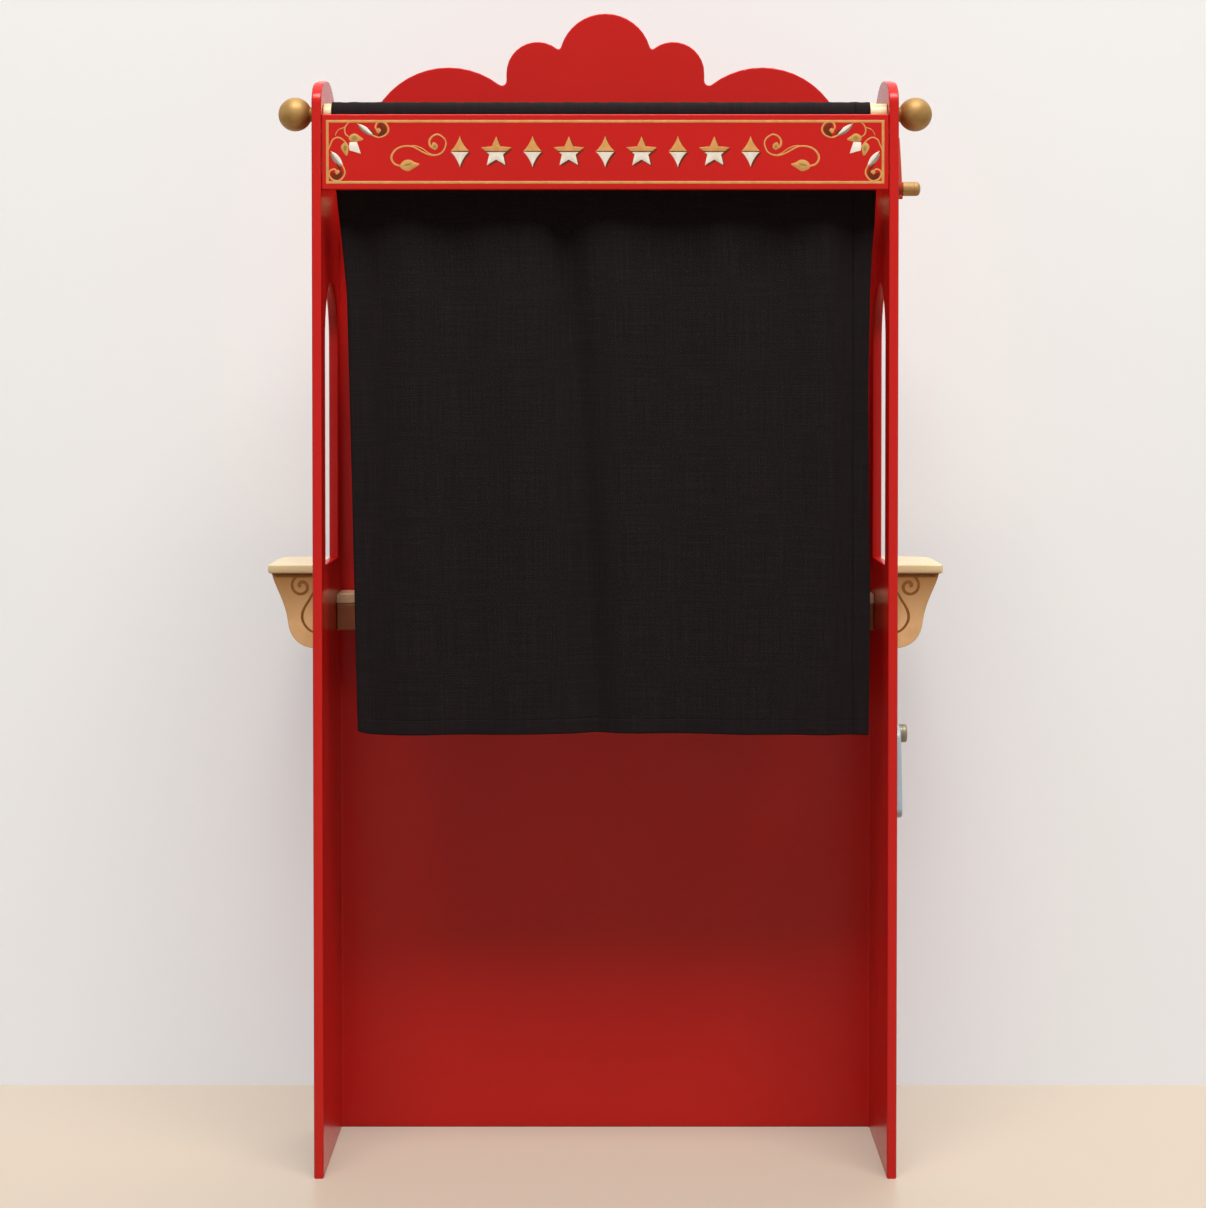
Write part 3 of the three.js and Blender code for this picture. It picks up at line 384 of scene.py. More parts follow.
# Thin brushed paint on the boards: a little uneven in tone
brushedBase = dict(
    roughness=0.4, sockets={"Specular IOR Level": 0.2},
    clouds=dict(scale=160.0, detail=4.0), cloudRange=(0.3, 0.75),
)
ornamentPaints = dict(
    gold=("ornamentGold", 0xDCA463, 0xCB8F4C),
    green=("ornamentGreen", 0xA8954E, 0x8C7C3C),
    white=("ornamentWhite", 0xF6EFE2, 0xE8DECB),
    grey=("ornamentGrey", 0xA3978E, 0x86786E),
    brown=("ornamentBrown", 0x7A3010, 0x62240C),
    scroll=("scrollBrown", 0x94652F, 0x7C521F),
    dial=("dialCream", 0xF3E6C8, 0xEADBB8),
    numbers=("dialBrown", 0x3A1A0E, 0x2C120A),
)


def makeFinish(look):
    material, shader = newMaterial(look["name"], look["colour"], look["roughness"], look.get("sockets"))
    if "clouds" in look:
        share = ramp(material, objectNoise(material, **look["clouds"]), *look["cloudRange"])
        tone = blendColours(material, share, look["colour"], look["deep"])
        # Painted shade: the tone is blended towards the shade colour with height
        if "shade" in look:
            place = addNode(material, "ShaderNodeTexCoord").outputs["Object"]
            height = addNode(material, "ShaderNodeSeparateXYZ", {"Vector": place}).outputs["Z"]
            tone = blendColours(material, ramp(material, height, *look["shadeHeights"]), tone, look["shade"])
        connect(material, tone, shader, "Base Color")
    if "shine" in look:
        low, high = (look["roughness"] + swing for swing in look["shineSwing"])
        smear = ramp(material, objectNoise(material, **look["shine"]), *shineRange, low, high)
        connect(material, smear, shader, "Roughness")
    if "relief" in look:
        bumpInto(material, shader, objectNoise(material, **look["relief"]), look["reliefDepth"])
    return material


def makeOrnamentPaint(name, colour, deep):
    return makeFinish(dict(brushedBase, name=name, colour=colour, deep=deep))


# Cloths. Their patterns lie on the flat cloth's own measures, which are the piece's UV map.
blackLook = dict(
    colour=0x1C1718, light=0x251F20, roughness=0.92,
    slubScales=((18, 900, 1), (900, 14, 1)), slubRange=(0.85, 1.35),
    threads=900, relief=0.00022, strength=0.6, seamWidth=0.0011, stitch=0.003, seamDepth=2.5, hem=0.013,
    sockets={"Sheen Weight": 0.0, "Sheen Roughness": 0.5, "Specular IOR Level": 0.08},
)
velvetLook = dict(
    colour=0x8C1018, deep=0x5E0A12, roughness=0.85,
    brushScale=(30, 9, 1), brushRange=(0.3, 0.72), pileScale=1600.0,
    relief=0.0002, strength=0.7, seamWidth=0.0014, stitch=0.004, seamDepth=1.5, hem=0.018,
    sockets={"Sheen Weight": 0.7, "Sheen Roughness": 0.35, "Specular IOR Level": 0.2,
             "Sheen Tint": (*linear(0xE0605C), 1)},
)


def flatPlace(material):
    return addNode(material, "ShaderNodeUVMap", uv_map="flat").outputs["UV"]


def sineWave(material, value, pitch):
    return compute(material, "SINE", compute(material, "MULTIPLY", value, math.pi / pitch))


def wovenHeight(material, flat, threads):
    # Plain weave: the warp rises where the weft dips, a product of two sine waves of the flat cloth's place
    place = addNode(material, "ShaderNodeSeparateXYZ", {"Vector": flat}).outputs
    warp, weft = (sineWave(material, place[axis], 1 / threads) for axis in ("X", "Y"))
    return compute(material, "MULTIPLY", warp, weft)


def seamHeight(material, flat, look, edgeAt):
    # Sewn lines down the sides and along the bottom: troughs of 1 - |distance| / width, with a thread that
    # dips at every stitch by a sine of the way along the line
    place = addNode(material, "ShaderNodeSeparateXYZ", {"Vector": flat}).outputs
    lines = []
    for across, along, line in (("X", "Y", edgeAt - look["hem"]), ("Y", "X", 2 * look["hem"])):
        away = compute(material, "SUBTRACT", compute(material, "ABSOLUTE", place[across]), line)
        trough = ramp(material, compute(material, "ABSOLUTE", away), 0.0, look["seamWidth"], 1.0, 0.0)
        thread = ramp(material, sineWave(material, place[along], look["stitch"]), -1.0, 1.0, 0.5, 1.0)
        lines.append(compute(material, "MULTIPLY", trough, thread))
    return compute(material, "MULTIPLY", compute(material, "MAXIMUM", *lines), -look["seamDepth"])


def blackCloth(look, edgeAt):
    material, shader = newMaterial("blackCloth", look["colour"], look["roughness"], look["sockets"])
    flat = flatPlace(material)
    slubs = compute(material, "ADD", *(noise(material, stretched(material, flat, scale), 1.0)
                                       for scale in look["slubScales"]))
    tone = blendColours(material, ramp(material, slubs, *look["slubRange"]), look["colour"], look["light"])
    connect(material, tone, shader, "Base Color")
    height = compute(material, "ADD", slubs, wovenHeight(material, flat, look["threads"]))
    height = compute(material, "ADD", height, seamHeight(material, flat, look, edgeAt))
    bumpInto(material, shader, height, look["relief"], look["strength"])
    return material


def redVelvet(look, edgeAt):
    material, shader = newMaterial("redVelvet", look["colour"], look["roughness"], look["sockets"])
    flat = flatPlace(material)
    brushed = noise(material, stretched(material, flat, look["brushScale"]), 1.0, 5.0, 0.6)
    tone = blendColours(material, ramp(material, brushed, *look["brushRange"]), look["colour"], look["deep"])
    connect(material, tone, shader, "Base Color")
    pile = noise(material, flat, look["pileScale"], 2.0)
    height = compute(material, "ADD", pile, seamHeight(material, flat, look, edgeAt))
    bumpInto(material, shader, height, look["relief"], look["strength"])
    return material


# Boards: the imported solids' own outlines, merged. Their eased edges are shaded round: a corner takes its
# direction from the largest face beside it, so that the narrow slopes blend into the flat faces.
boardLook = dict(weld=2e-6, flatWithin=0.4, sharpFrom=58, weight=100)
boardTable = [
    # finish, material slot, body, nodes
    ("lacquer", "red_lacquer", "root",
     ("side_panel_left", "side_panel_right", "front_panel", "header_board", "shelf_cleat")),
    ("cream", "cream_paint", "root", ("stage_shelf",)),
    ("ledge", "cream_paint", "root", ("inner_ledge",)),
    ("apron", "gold_paint", "root", ("ledge_apron",)),
    ("corbel", "gold_paint", "root", ("corbel_left", "corbel_right")),
    ("wood", "pale_wood", "root", ("rod_bracket_left", "rod_bracket_right")),
    ("hand", "gold_paint", "hour_hand", ("hour_hand",)),
    ("hand", "gold_paint", "minute_hand", ("minute_hand",)),
    ("hand", "pale_wood", "root", ("clock_spacer",)),
    ("sky", "sky_paint", "sign", ("sign_plate",)),
]
# The side panels' top edges fall towards the rear, where their solids stay level
sideTopLook = dict(fall=8.5, within=80.0, cornerRound=28.0)
# Paint that fills the inner corners between the front panel and the side panels
filletLook = dict(size=1.3, hollow=0.3, sunk=0.2, belowShoulder=160.0)


def lowerRearTop(mesh, node, look):
    # The fall is full at the rear end of the top edge. It eases out over the depth within, and fades evenly
    # down the height of the rear corner's round.
    low, high = corners(node)
    points = np.empty(len(mesh.vertices) * 3)
    mesh.vertices.foreach_get("co", points)
    points = points.reshape(-1, 3)
    depthShare = 1 - rise((points[:, 1] - low[1]) / (look["within"] * mm))
    heightShare = np.clip(1 - (high[2] - points[:, 2]) / (look["cornerRound"] * mm), 0, 1)
    points[:, 2] -= depthShare * heightShare * look["fall"] * mm
    mesh.vertices.foreach_set("co", points.ravel())


def roundedCopy(node, material, look):
    mesh = nodes[node].data.copy()
    mesh.name = node + "_finish"
    if node.startswith("side_panel"):
        lowerRearTop(mesh, node, sideTopLook)
    work = bmesh.new()
    work.from_mesh(mesh)
    bmesh.ops.remove_doubles(work, verts=work.verts, dist=look["weld"])
    bmesh.ops.dissolve_limit(work, angle_limit=math.radians(look["flatWithin"]), verts=work.verts,
                             edges=work.edges, use_dissolve_boundaries=False)
    work.to_mesh(mesh)
    work.free()
    if "custom_normal" in mesh.attributes:
        mesh.attributes.remove(mesh.attributes["custom_normal"])
    mesh.polygons.foreach_set("use_smooth", [True] * len(mesh.polygons))
    mesh.set_sharp_from_angle(angle=math.radians(look["sharpFrom"]))
    mesh.materials.clear()
    mesh.materials.append(material)
    piece = bpy.data.objects.new(node + "_finish", mesh)
    bpy.context.collection.objects.link(piece)
    shading = piece.modifiers.new("rounded edges", "WEIGHTED_NORMAL")
    shading.weight, shading.keep_sharp = look["weight"], True
    return piece


def makeBoards(table, look, finishes):
    for finish, slotName, body, names in table:
        for node in names:
            dress(roundedCopy(node, finishes[finish], look), body, slotName, node)


def makeFillets(look, lacquer):
    # Cross-section: two legs sunk into the boards and a hollow face between them
    low, high = corners("front_panel")
    size, sunk = look["size"] * mm, look["sunk"] * mm
    hollow = look["hollow"] * size
    face = corners("side_panel_right")[0][0]
    bottom, top = low[2] + sunk, high[2] - look["belowShoulder"] * mm
    section = np.array([(-sunk, -sunk), (-sunk, size), (0, size), (hollow, hollow), (size, 0), (size, -sunk)])
    ends = np.array([[0, 1, 2, 3], [0, 3, 4, 5], [6, 9, 8, 7], [6, 11, 10, 9]])
    quads = np.concatenate([gridQuads(2, len(section), wrapColumns=True), ends])
    for label, side in (("left", -1), ("right", 1)):
        ring = np.stack([side * (face - section[:, 0]), low[1] - section[:, 1]], axis=-1)
        points = [(x, y, z) for z in (bottom, top) for x, y in ring]
        piece = arrayPiece("corner_fillet_" + label, points, quads, lacquer, closed=True)
        dress(piece, "root", "red_lacquer")


# Turned pieces: a profile of (radius, place along the axis) swept round the axis
turnedSharpFrom = 35
rodLook = dict(tenonRadius=6.0, tenonEdge=0.5, shoulderGap=0.3, shoulderEdge=0.6, edge=0.8, sides=64)
finialLook = dict(neckRadius=7.5, neckEdge=0.4, neckLength=1.6, hollowRadius=6.6, hollowAt=2.2,
                  ballOverNeck=0.93, ballRings=40, boreRadius=6.4, boreEdge=0.3, boreDepth=18.0, sides=72)
knobLook = dict(stemRadius=3.0, stemEdge=0.3, stemTop=0.1, seatGap=0.3, edge=0.5, beadTurn=72, beadRings=7,
                beadBelowEnd=0.6, crown=((0.45, 0.22), (0.2, 0.05), (0.0, 0.0)), sides=48)
clockKnobLook = dict(
    knobLook, node="clock_knob", under="minute_hand", rimRound=3.5, groove=0.25, grooveAt=0.62)
signKnobLook = dict(knobLook, node="sign_knob", under="sign_plate", rimRound=1.8, groove=0.3, grooveAt=0.45)


def turnedPiece(name, profile, origin, axis, sides, material, radiusAt=None):
    # Point = origin + place * axis + radius * (cos a * side + sin a * other); radiusAt bends rings out of
    # round
    profile = np.asarray(profile, float)
    axis = np.asarray(axis, float) / np.linalg.norm(axis)
    side = np.array([0.0, 0.0, 1.0])
    other = np.cross(axis, side)
    angle = np.linspace(0, 2 * np.pi, sides, endpoint=False)[None, :, None]
    radius = np.repeat(profile[:, :1], sides, axis=1)[..., None]
    if radiusAt is not None:
        radius = radiusAt(profile, angle[0, :, 0])[..., None]
    points = (np.asarray(origin, float) + profile[:, 1][:, None, None] * axis
              + radius * (np.cos(angle) * side + np.sin(angle) * other))
    quads = gridQuads(len(profile), sides, wrapColumns=True)
    piece = arrayPiece(name, points.reshape(-1, 3), quads, material, smooth=True, closed=True)
    piece.data.set_sharp_from_angle(angle=math.radians(turnedSharpFrom))
    return piece


def arcProfile(radius, centre, fromAngle, toAngle, count):
    angle = np.radians(np.linspace(fromAngle, toAngle, count))
    return [(max(radius * math.cos(a), 0), centre + radius * math.sin(a)) for a in angle]


def easedEnd(radius, place, edge):
    return [(radius - edge, place), (radius, place + edge)]


def inMetres(look, *keys):
    return (look[key] * mm for key in keys)


def makeRods(look, wood):
    # The rear rod has a thinner tenon at each end, which passes the side panel
    tenon, tenonEdge, shoulderGap, shoulderEdge, edge = inMetres(
        look, "tenonRadius", "tenonEdge", "shoulderGap", "shoulderEdge", "edge")
    shoulder = corners("side_panel_right")[0][0] - shoulderGap
    for node, body in (("rear_curtain_rod", "rear_rod"), ("front_curtain_rod", "root")):
        low, high = corners(node)
        reach, radius = (high[0] - low[0]) / 2, (high[2] - low[2]) / 2
        profile = [(0, -reach)]
        if reach > shoulder:
            profile += easedEnd(tenon, -reach, tenonEdge) + [(tenon, -shoulder)]
            profile += easedEnd(radius, -shoulder, shoulderEdge)
        else:
            profile += easedEnd(radius, -reach, edge)
        profile += [(r, -z) for r, z in reversed(profile)]
        piece = turnedPiece(node + "_finish", profile, middle(node), (1, 0, 0), look["sides"], wood)
        dress(piece, body, "pale_wood", node)


def makeFinials(look, gold):
    # A bored neck, a hollow and a ball
    neck, neckEdge, neckLength, hollow, hollowAt = inMetres(
        look, "neckRadius", "neckEdge", "neckLength", "hollowRadius", "hollowAt")
    bore, boreEdge, boreDepth = inMetres(look, "boreRadius", "boreEdge", "boreDepth")
    for side, label in ((-1, "left"), (1, "right")):
        node = "rod_finial_" + label
        low, high = corners(node)
        seat = high[0] if side < 0 else low[0]
        radius = (high[2] - low[2]) / 2
        ballFrom = -math.degrees(math.acos(neck * look["ballOverNeck"] / radius))
        profile = [(0, boreDepth), (bore, boreDepth), (bore, boreEdge), (bore + boreEdge, 0)]
        profile += easedEnd(neck, 0, neckEdge) + [(neck, neckLength), (hollow, hollowAt)]
        profile += arcProfile(radius, high[0] - low[0] - radius, ballFrom, 90, look["ballRings"])
        place = (seat, *middle(node)[1:])
        piece = turnedPiece(node + "_finish", profile, place, (side, 0, 0), look["sides"], gold)
        dress(piece, "rear_rod", "gold_paint", node)


def makeKnob(look, paint):
    # A stem back into the panel, a round barrel with one turned groove and a crowned end
    node = look["node"]
    stemRadius, stemEdge, stemTop, seatGap, edge = inMetres(
        look, "stemRadius", "stemEdge", "stemTop", "seatGap", "edge")
    bead, beadBelowEnd, groove = inMetres(look, "rimRound", "beadBelowEnd", "groove")
    low, high = corners(node)
    radius = (high[2] - low[2]) / 2
    seat = corners(look["under"])[1][0] + seatGap
    length, stem = high[0] - seat, seat - low[0]
    at = look["grooveAt"] * length
    profile = [(0, -stem)] + easedEnd(stemRadius, -stem, stemEdge) + [(stemRadius, -stemTop)]
    profile += easedEnd(radius, 0, edge)
    profile += [(radius, at - 2 * groove), (radius - groove, at - groove)]
    profile += [(radius - groove, at), (radius, at + groove)]
    rim = arcProfile(bead, length - bead - beadBelowEnd, 0, look["beadTurn"], look["beadRings"])
    profile += [(r + radius - bead, z) for r, z in rim]
    profile += [(radius * share, length - below * mm) for share, below in look["crown"]]
    piece = turnedPiece(node + "_finish", profile, (seat, *middle(node)[1:]), (1, 0, 0), look["sides"], paint)
    dress(piece, "root", "gold_paint", node)


# Countersunk screws with a hexagon socket
screwLook = dict(headRadius=3.2, headRound=0.2, headEdge=0.5, coneHeight=1.8, shankRadius=1.8, tip=4.0,
                 socketRadius=1.5, socketDepth=1.3, socketRim=0.25, socketBevel=0.12, socketRings=3, sides=36)


def makeScrews(look, steel):
    head, headRound, headEdge, cone, shank, tip = inMetres(
        look, "headRadius", "headRound", "headEdge", "coneHeight", "shankRadius", "tip")
    socket, depth, rim, bevel = inMetres(look, "socketRadius", "socketDepth", "socketRim", "socketBevel")

    def radiusAt(profile, angle):
        # Rings of the socket follow a hexagon: apothem / cos(angle within the sixth part)
        within = np.mod(angle, math.pi / 3) - math.pi / 6
        rings = np.repeat(profile[:, :1], len(angle), axis=1)
        rings[:look["socketRings"]] *= math.cos(math.pi / 6) / np.cos(within)
        return rings

    for name in sorted(n for n in nodes if "_screw_" in n):
        low, high = corners(name)
        along = int(np.argmax(high - low))
        length = (high - low)[along]
        outward = np.zeros(3)
        outward[along] = 1.0 if along == 0 and low[0] > 0 else -1.0
        top = middle(name) + outward * length / 2
        profile = [(0, -depth), (socket, -depth), (socket, -bevel), (socket + rim, 0), (head - headRound, 0),
                   (head, -headRound), (head, -headEdge), (shank, -headEdge - cone), (shank, tip - length),
                   (0, -length)]
        piece = turnedPiece(name + "_finish", profile, top, outward, look["sides"], steel, radiusAt)
        dress(piece, "root", "screw_steel", name)


# Painted ornament: thin strokes that lie on a board's face, in millimetres of (across, up or down, lift)
strokeLook = dict(
    thickness=0.16, belowFace=0.5, samplesPerPoint=7, sectionPoints=8, pointedPower=0.8, sharpFrom=22)


def onFace(origin, across, along, outward):
    # Gives the function that puts a drawing on a face: origin + drawing * (the three directions)
    directions = np.array([across, along, outward], float) * mm
    return lambda points: np.asarray(origin) + points @ directions


def lifted(flat, lift, thickness):
    # Rings of flat points get their heights over the face
    lift = np.broadcast_to(lift * strokeLook["thickness"] * thickness, flat.shape[:2])
    return np.concatenate([flat, lift[..., None]], axis=2).reshape(-1, 3)


def brushStroke(points, widths, thickness=1.0, pointed=False):
    # Lens section carried along a smooth path in a plane. Half width runs through the widths and closes
    # round at both ends: w * sqrt(1 - (1 - d / w)^2) at a distance d from an end.
    path = smoothPath(points, strokeLook["samplesPerPoint"] * (len(points) - 1) + 1)
    step = np.linalg.norm(np.diff(path, axis=0), axis=1)
    along = np.concatenate([[0], np.cumsum(step)])
    share = along / along[-1]
    widths = np.atleast_1d(widths)
    half = np.interp(share, np.linspace(0, 1, len(widths)), widths) / 2
    if pointed:
        half = half * np.sin(np.pi * share) ** strokeLook["pointedPower"]
    else:
        near = np.minimum(along, along[-1] - along) / np.maximum(half, 1e-6)
        half = half * np.sqrt(1 - (1 - np.clip(near, 0, 1)) ** 2)
    tangent = np.gradient(path, axis=0)
    tangent /= np.linalg.norm(tangent, axis=1)[:, None]
    side = np.stack([-tangent[:, 1], tangent[:, 0]], axis=1)
    turn = np.linspace(0, 2 * np.pi, strokeLook["sectionPoints"], endpoint=False)
    across, up = np.cos(turn), np.maximum(np.sin(turn), -strokeLook["belowFace"])
    flat = path[:, None, :] + half[:, None, None] * across[None, :, None] * side[:, None, :]
    return lifted(flat, up, thickness), gridQuads(len(path), len(turn), wrapColumns=True)


def filledShape(outline, thickness=1.0, centre=None):
    # Rings shrink from the outline to its middle: point = middle + share * (outline - middle)
    outline = np.asarray(outline, float)
    centre = outline.mean(axis=0) if centre is None else np.asarray(centre, float)
    share, lift = np.array([(0, 1), (0.93, 1), (1, 0.35), (1, -strokeLook["belowFace"]),
                            (0, -strokeLook["belowFace"])]).T
    flat = centre + share[:, None, None] * (outline - centre)
    return lifted(flat, lift[:, None], thickness), gridQuads(len(share), len(outline), wrapColumns=True)


def closedLine(outline, width, thickness=1.0, inward=0.0):
    # Flat line of even width round a closed outline, inward of it: each point has a mitred sideways direction
    path = np.asarray(outline, float)
    before, after = path - np.roll(path, 1, axis=0), np.roll(path, -1, axis=0) - path
    before /= np.linalg.norm(before, axis=1)[:, None]
    after /= np.linalg.norm(after, axis=1)[:, None]
    side = np.stack([-(before + after)[:, 1], (before + after)[:, 0]], axis=1)
    side /= (1 + (before * after).sum(axis=1))[:, None]
    across = np.array([-1, -0.75, 0.75, 1, 1, -1]) * width / 2 + inward
    lift = np.array([0.2, 1, 1, 0.2, -strokeLook["belowFace"], -strokeLook["belowFace"]])
    flat = path[:, None, :] + across[None, :, None] * side[:, None, :]
    return lifted(flat, lift, thickness), gridQuads(len(path), len(across), wrapRows=True, wrapColumns=True)


def dot(x, y, radius):
    return brushStroke([(x - radius, y), (x, y), (x + radius, y)], radius * 2)


def mirrored(part, middleX):
    points = part[0] * (-1, 1, 1) + (2 * middleX, 0, 0)
    return points, part[1][:, ::-1]


def paintedPiece(name, parts, place, material, body, slotName):
    points, quads = stacked(parts)
    piece = arrayPiece(name, place(points), quads, material, smooth=True, closed=True)
    piece.data.set_sharp_from_angle(angle=math.radians(strokeLook["sharpFrom"]))
    return dress(piece, body, slotName)


# Header ornament: its left half, in millimetres from the top left corner of its border line
headerLook = dict(inset=5.4, topInset=6.6, lineWidth=2.4)
headerOrnament = dict(
    gold=dict(
        strokes=[  # points and widths
            ([(20, 0.9), (17.1, 4.0), (15.9, 7.9), (17.0, 12.0), (20.5, 14.6)], (1.0, 1.3, 1.0)),
            ([(16.2, 5.6), (11.3, 7.1), (8.6, 9.8), (7.2, 13.4)], (1.1, 0.8, 0.5)),
            ([(17.5, 20.0), (13.7, 16.5), (9.4, 14.8), (5.0, 16.9), (2.9, 21.2), (0.6, 26.5)],
             (1.2, 1.4, 1.0)),
            ([(27.0, 1.2), (34.0, 8.0), (42.5, 13.2), (47.5, 14.6), (53.2, 12.6), (56.2, 7.9), (54.2, 2.6),
              (50.3, 0.2), (46.0, 1.4), (44.2, 5.2), (45.8, 8.3)], (0.8, 1.2, 1.5, 1.7, 1.5)),
            ([(2.6, 26.5), (8.4, 34.0), (13.6, 40.4), (16.1, 46.4), (14.2, 51.4), (9.9, 54.6), (4.6, 53.4),
              (1.6, 49.6), (2.4, 45.4), (6.4, 44.0), (8.9, 46.4)], (0.8, 1.2, 1.5, 1.7, 1.5)),
            ([(98.0, 24.6), (94.6, 22.6), (93.8, 17.7), (96.6, 13.7), (101.4, 12.0), (107.0, 15.3),
              (109.0, 20.1), (107.0, 26.4), (103.0, 30.0), (96.6, 31.2), (90.2, 29.4), (83.8, 26.0),
              (78.3, 23.2), (71.1, 22.8), (63.9, 25.2), (59.5, 30.4), (59.1, 35.1), (62.3, 39.5),
              (68.0, 41.0)],
             (2.2, 1.6, 1.3, 1.6, 1.4, 1.5, 1.9, 1.6)),
            ([(75.0, 22.6), (80.6, 22.4), (87.0, 24.8), (92.4, 28.6), (98.0, 31.0)], (0.7, 1.0, 0.7)),
        ],
        dots=[(47.2, 8.6, 2.3), (9.2, 46.6, 2.1)],
        leaves=[  # thickness and points
            (1.0, [(97.0, 19.4), (100.6, 20.6), (101.4, 24.0), (98.6, 26.2), (95.8, 23.6)]),
            (1.0, [(19.6, 15.8), (21.6, 12.4), (25.6, 11.2), (29.4, 13.4), (33.0, 16.6), (28.0, 18.4),
                   (22.0, 18.6)]),
            (1.0, [(16.3, 19.0), (12.7, 22.7), (13.8, 27.0), (17.6, 31.6), (19.4, 26.5), (19.0, 21.5)]),
            (1.0, [(66.6, 40.8), (70.2, 36.2), (75.6, 35.2), (80.4, 37.6), (84.6, 39.2), (80.2, 42.4),
                   (74.6, 45.6), (69.4, 44.2)]),
        ],
    ),
    green=dict(
        leaves=[
            (1.7, [(22.4, 15.4), (25.0, 12.9), (27.6, 15.2), (25.4, 17.6)]),
            (1.7, [(16.4, 21.6), (14.7, 24.2), (16.6, 27.4), (18.3, 24.6)]),
            (1.7, [(97.4, 21.4), (99.6, 22.2), (99.6, 24.2), (97.4, 24.0)]),
        ],
        blades=[(1.7, 3.0, [(69.6, 40.8), (73.0, 39.6), (77.6, 38.8)])],  # thickness, width and points
    ),
    white=dict(
        blades=[
            (1.9, 3.6, [(28.6, 2.4), (34.6, 6.6), (41.8, 12.2)]),
            (1.9, 3.8, [(3.4, 27.4), (8.8, 33.0), (14.2, 40.6)]),
        ],
        petals=[
            (1.5, [(20.4, 19.0), (27.2, 19.0), (28.6, 23.0), (30.6, 29.6), (27.2, 28.7), (24.0, 27.6),
                   (20.6, 27.0), (19.8, 23.0)]),
        ],
    ),
    grey=dict(
        blades=[
            (1.2, 3.2, [(28.2, 3.6), (33.6, 8.2), (40.6, 13.2)]),
            (1.2, 3.4, [(2.6, 29.2), (6.4, 34.6), (12.6, 41.6)]),
        ],
    ),
    brown=dict(
        leaves=[
            (0.8, [(46.2, 2.0), (50.4, 1.6), (54.2, 5.4), (53.8, 10.6), (49.6, 13.6), (46.2, 13.6),
                   (50.0, 9.0), (48.6, 5.0)]),
            (0.8, [(3.4, 46.4), (8.0, 49.6), (12.6, 45.0), (14.0, 48.6), (11.0, 53.0), (6.6, 53.4),
                   (3.6, 50.4)]),
        ],
        blades=[
            (0.8, 3.2, [(36.6, 6.4), (41.0, 9.8), (44.6, 12.4)]),
            (0.8, 2.8, [(8.0, 38.0), (10.2, 41.0), (12.8, 45.4)]),
        ],
    ),
)
# Nine motifs in a row: lozenges with a star in between, each parted in an upper and a lower tone
motifLook = dict(
    count=9, pitch=33.4, middleY=27.6,
    lozengeWidth=9.2, lozengeHeight=14.6, lozengePoints=40, lozengePower=0.78,
    starRadius=14.6, starPoints=5, starWaist=0.46, starSteps=4, starDown=0.8,
    parting=0.5, middleOff=1.8, thickness=1.3, shade=(1.3, 1.5), shadeThickness=0.7,
)


def drawnParts(strokes=(), dots=(), leaves=(), blades=(), petals=()):
    parts = [brushStroke(points, widths) for points, widths in strokes]
    parts += [dot(*place) for place in dots]
    parts += [filledShape(closedCurve(points), thickness) for thickness, points in leaves]
    parts += [brushStroke(points, width, thickness, pointed=True) for thickness, width, points in blades]
    parts += [filledShape(points, thickness) for thickness, points in petals]
    return parts


def starOutline(x, y, look):
    # Star: radius swings between the tip's and the waist's along straight edges
    index = np.arange(look["starPoints"] * 2)
    angle = index * np.pi / look["starPoints"] - np.pi / 2
    reach = look["starRadius"] * np.where(index % 2 == 0, 1, look["starWaist"])
    corner = np.stack([x + reach * np.cos(angle), y + reach * np.sin(angle)], axis=1)
    following = np.roll(corner, -1, axis=0)
    share = np.linspace(0, 1, look["starSteps"], endpoint=False)[None, :, None]
    return (corner[:, None] * (1 - share) + following[:, None] * share).reshape(-1, 2)


def lozengeOutline(x, y, look):
    # Lozenge with hollow sides: |across|^power + |down|^power = 1
    turn = np.linspace(0, 2 * np.pi, look["lozengePoints"], endpoint=False)
    power = 2 / look["lozengePower"]
    across, down = (np.sign(wave) * np.abs(wave) ** power for wave in (np.cos(turn), np.sin(turn)))
    return np.stack([x + look["lozengeWidth"] * across, y + look["lozengeHeight"] * down], axis=1)


def partOf(outline, level, sign):
    # The part of an outline above a level (sign 1) or below it (sign -1), closed along the level
    part = []
    for here, there in zip(outline, np.roll(outline, -1, axis=0)):
        inside, nextInside = sign * (level - here[1]) > 0, sign * (level - there[1]) > 0
        if inside:
            part.append(here)
        if inside != nextInside:
            part.append(here + (there - here) * (level - here[1]) / (there[1] - here[1]))
    return np.array(part)


def motifParts(look, middleX):
    # Upper halves, lower halves and the shades beside the whole motifs
    upper, lower, shade = [], [], []
    cut = look["middleY"]
    for index in range(look["count"]):
        x = middleX + (index - (look["count"] - 1) / 2) * look["pitch"]
        outline = starOutline(x, cut + look["starDown"], look) if index % 2 else lozengeOutline(x, cut, look)
        for sign, parts in ((1, upper), (-1, lower)):
            tone = partOf(outline, cut - sign * look["parting"], sign)
            parts.append(filledShape(tone, look["thickness"], centre=(x, cut - sign * look["middleOff"])))
        shade.append(filledShape(outline + look["shade"], look["shadeThickness"]))
    return upper, lower, shade


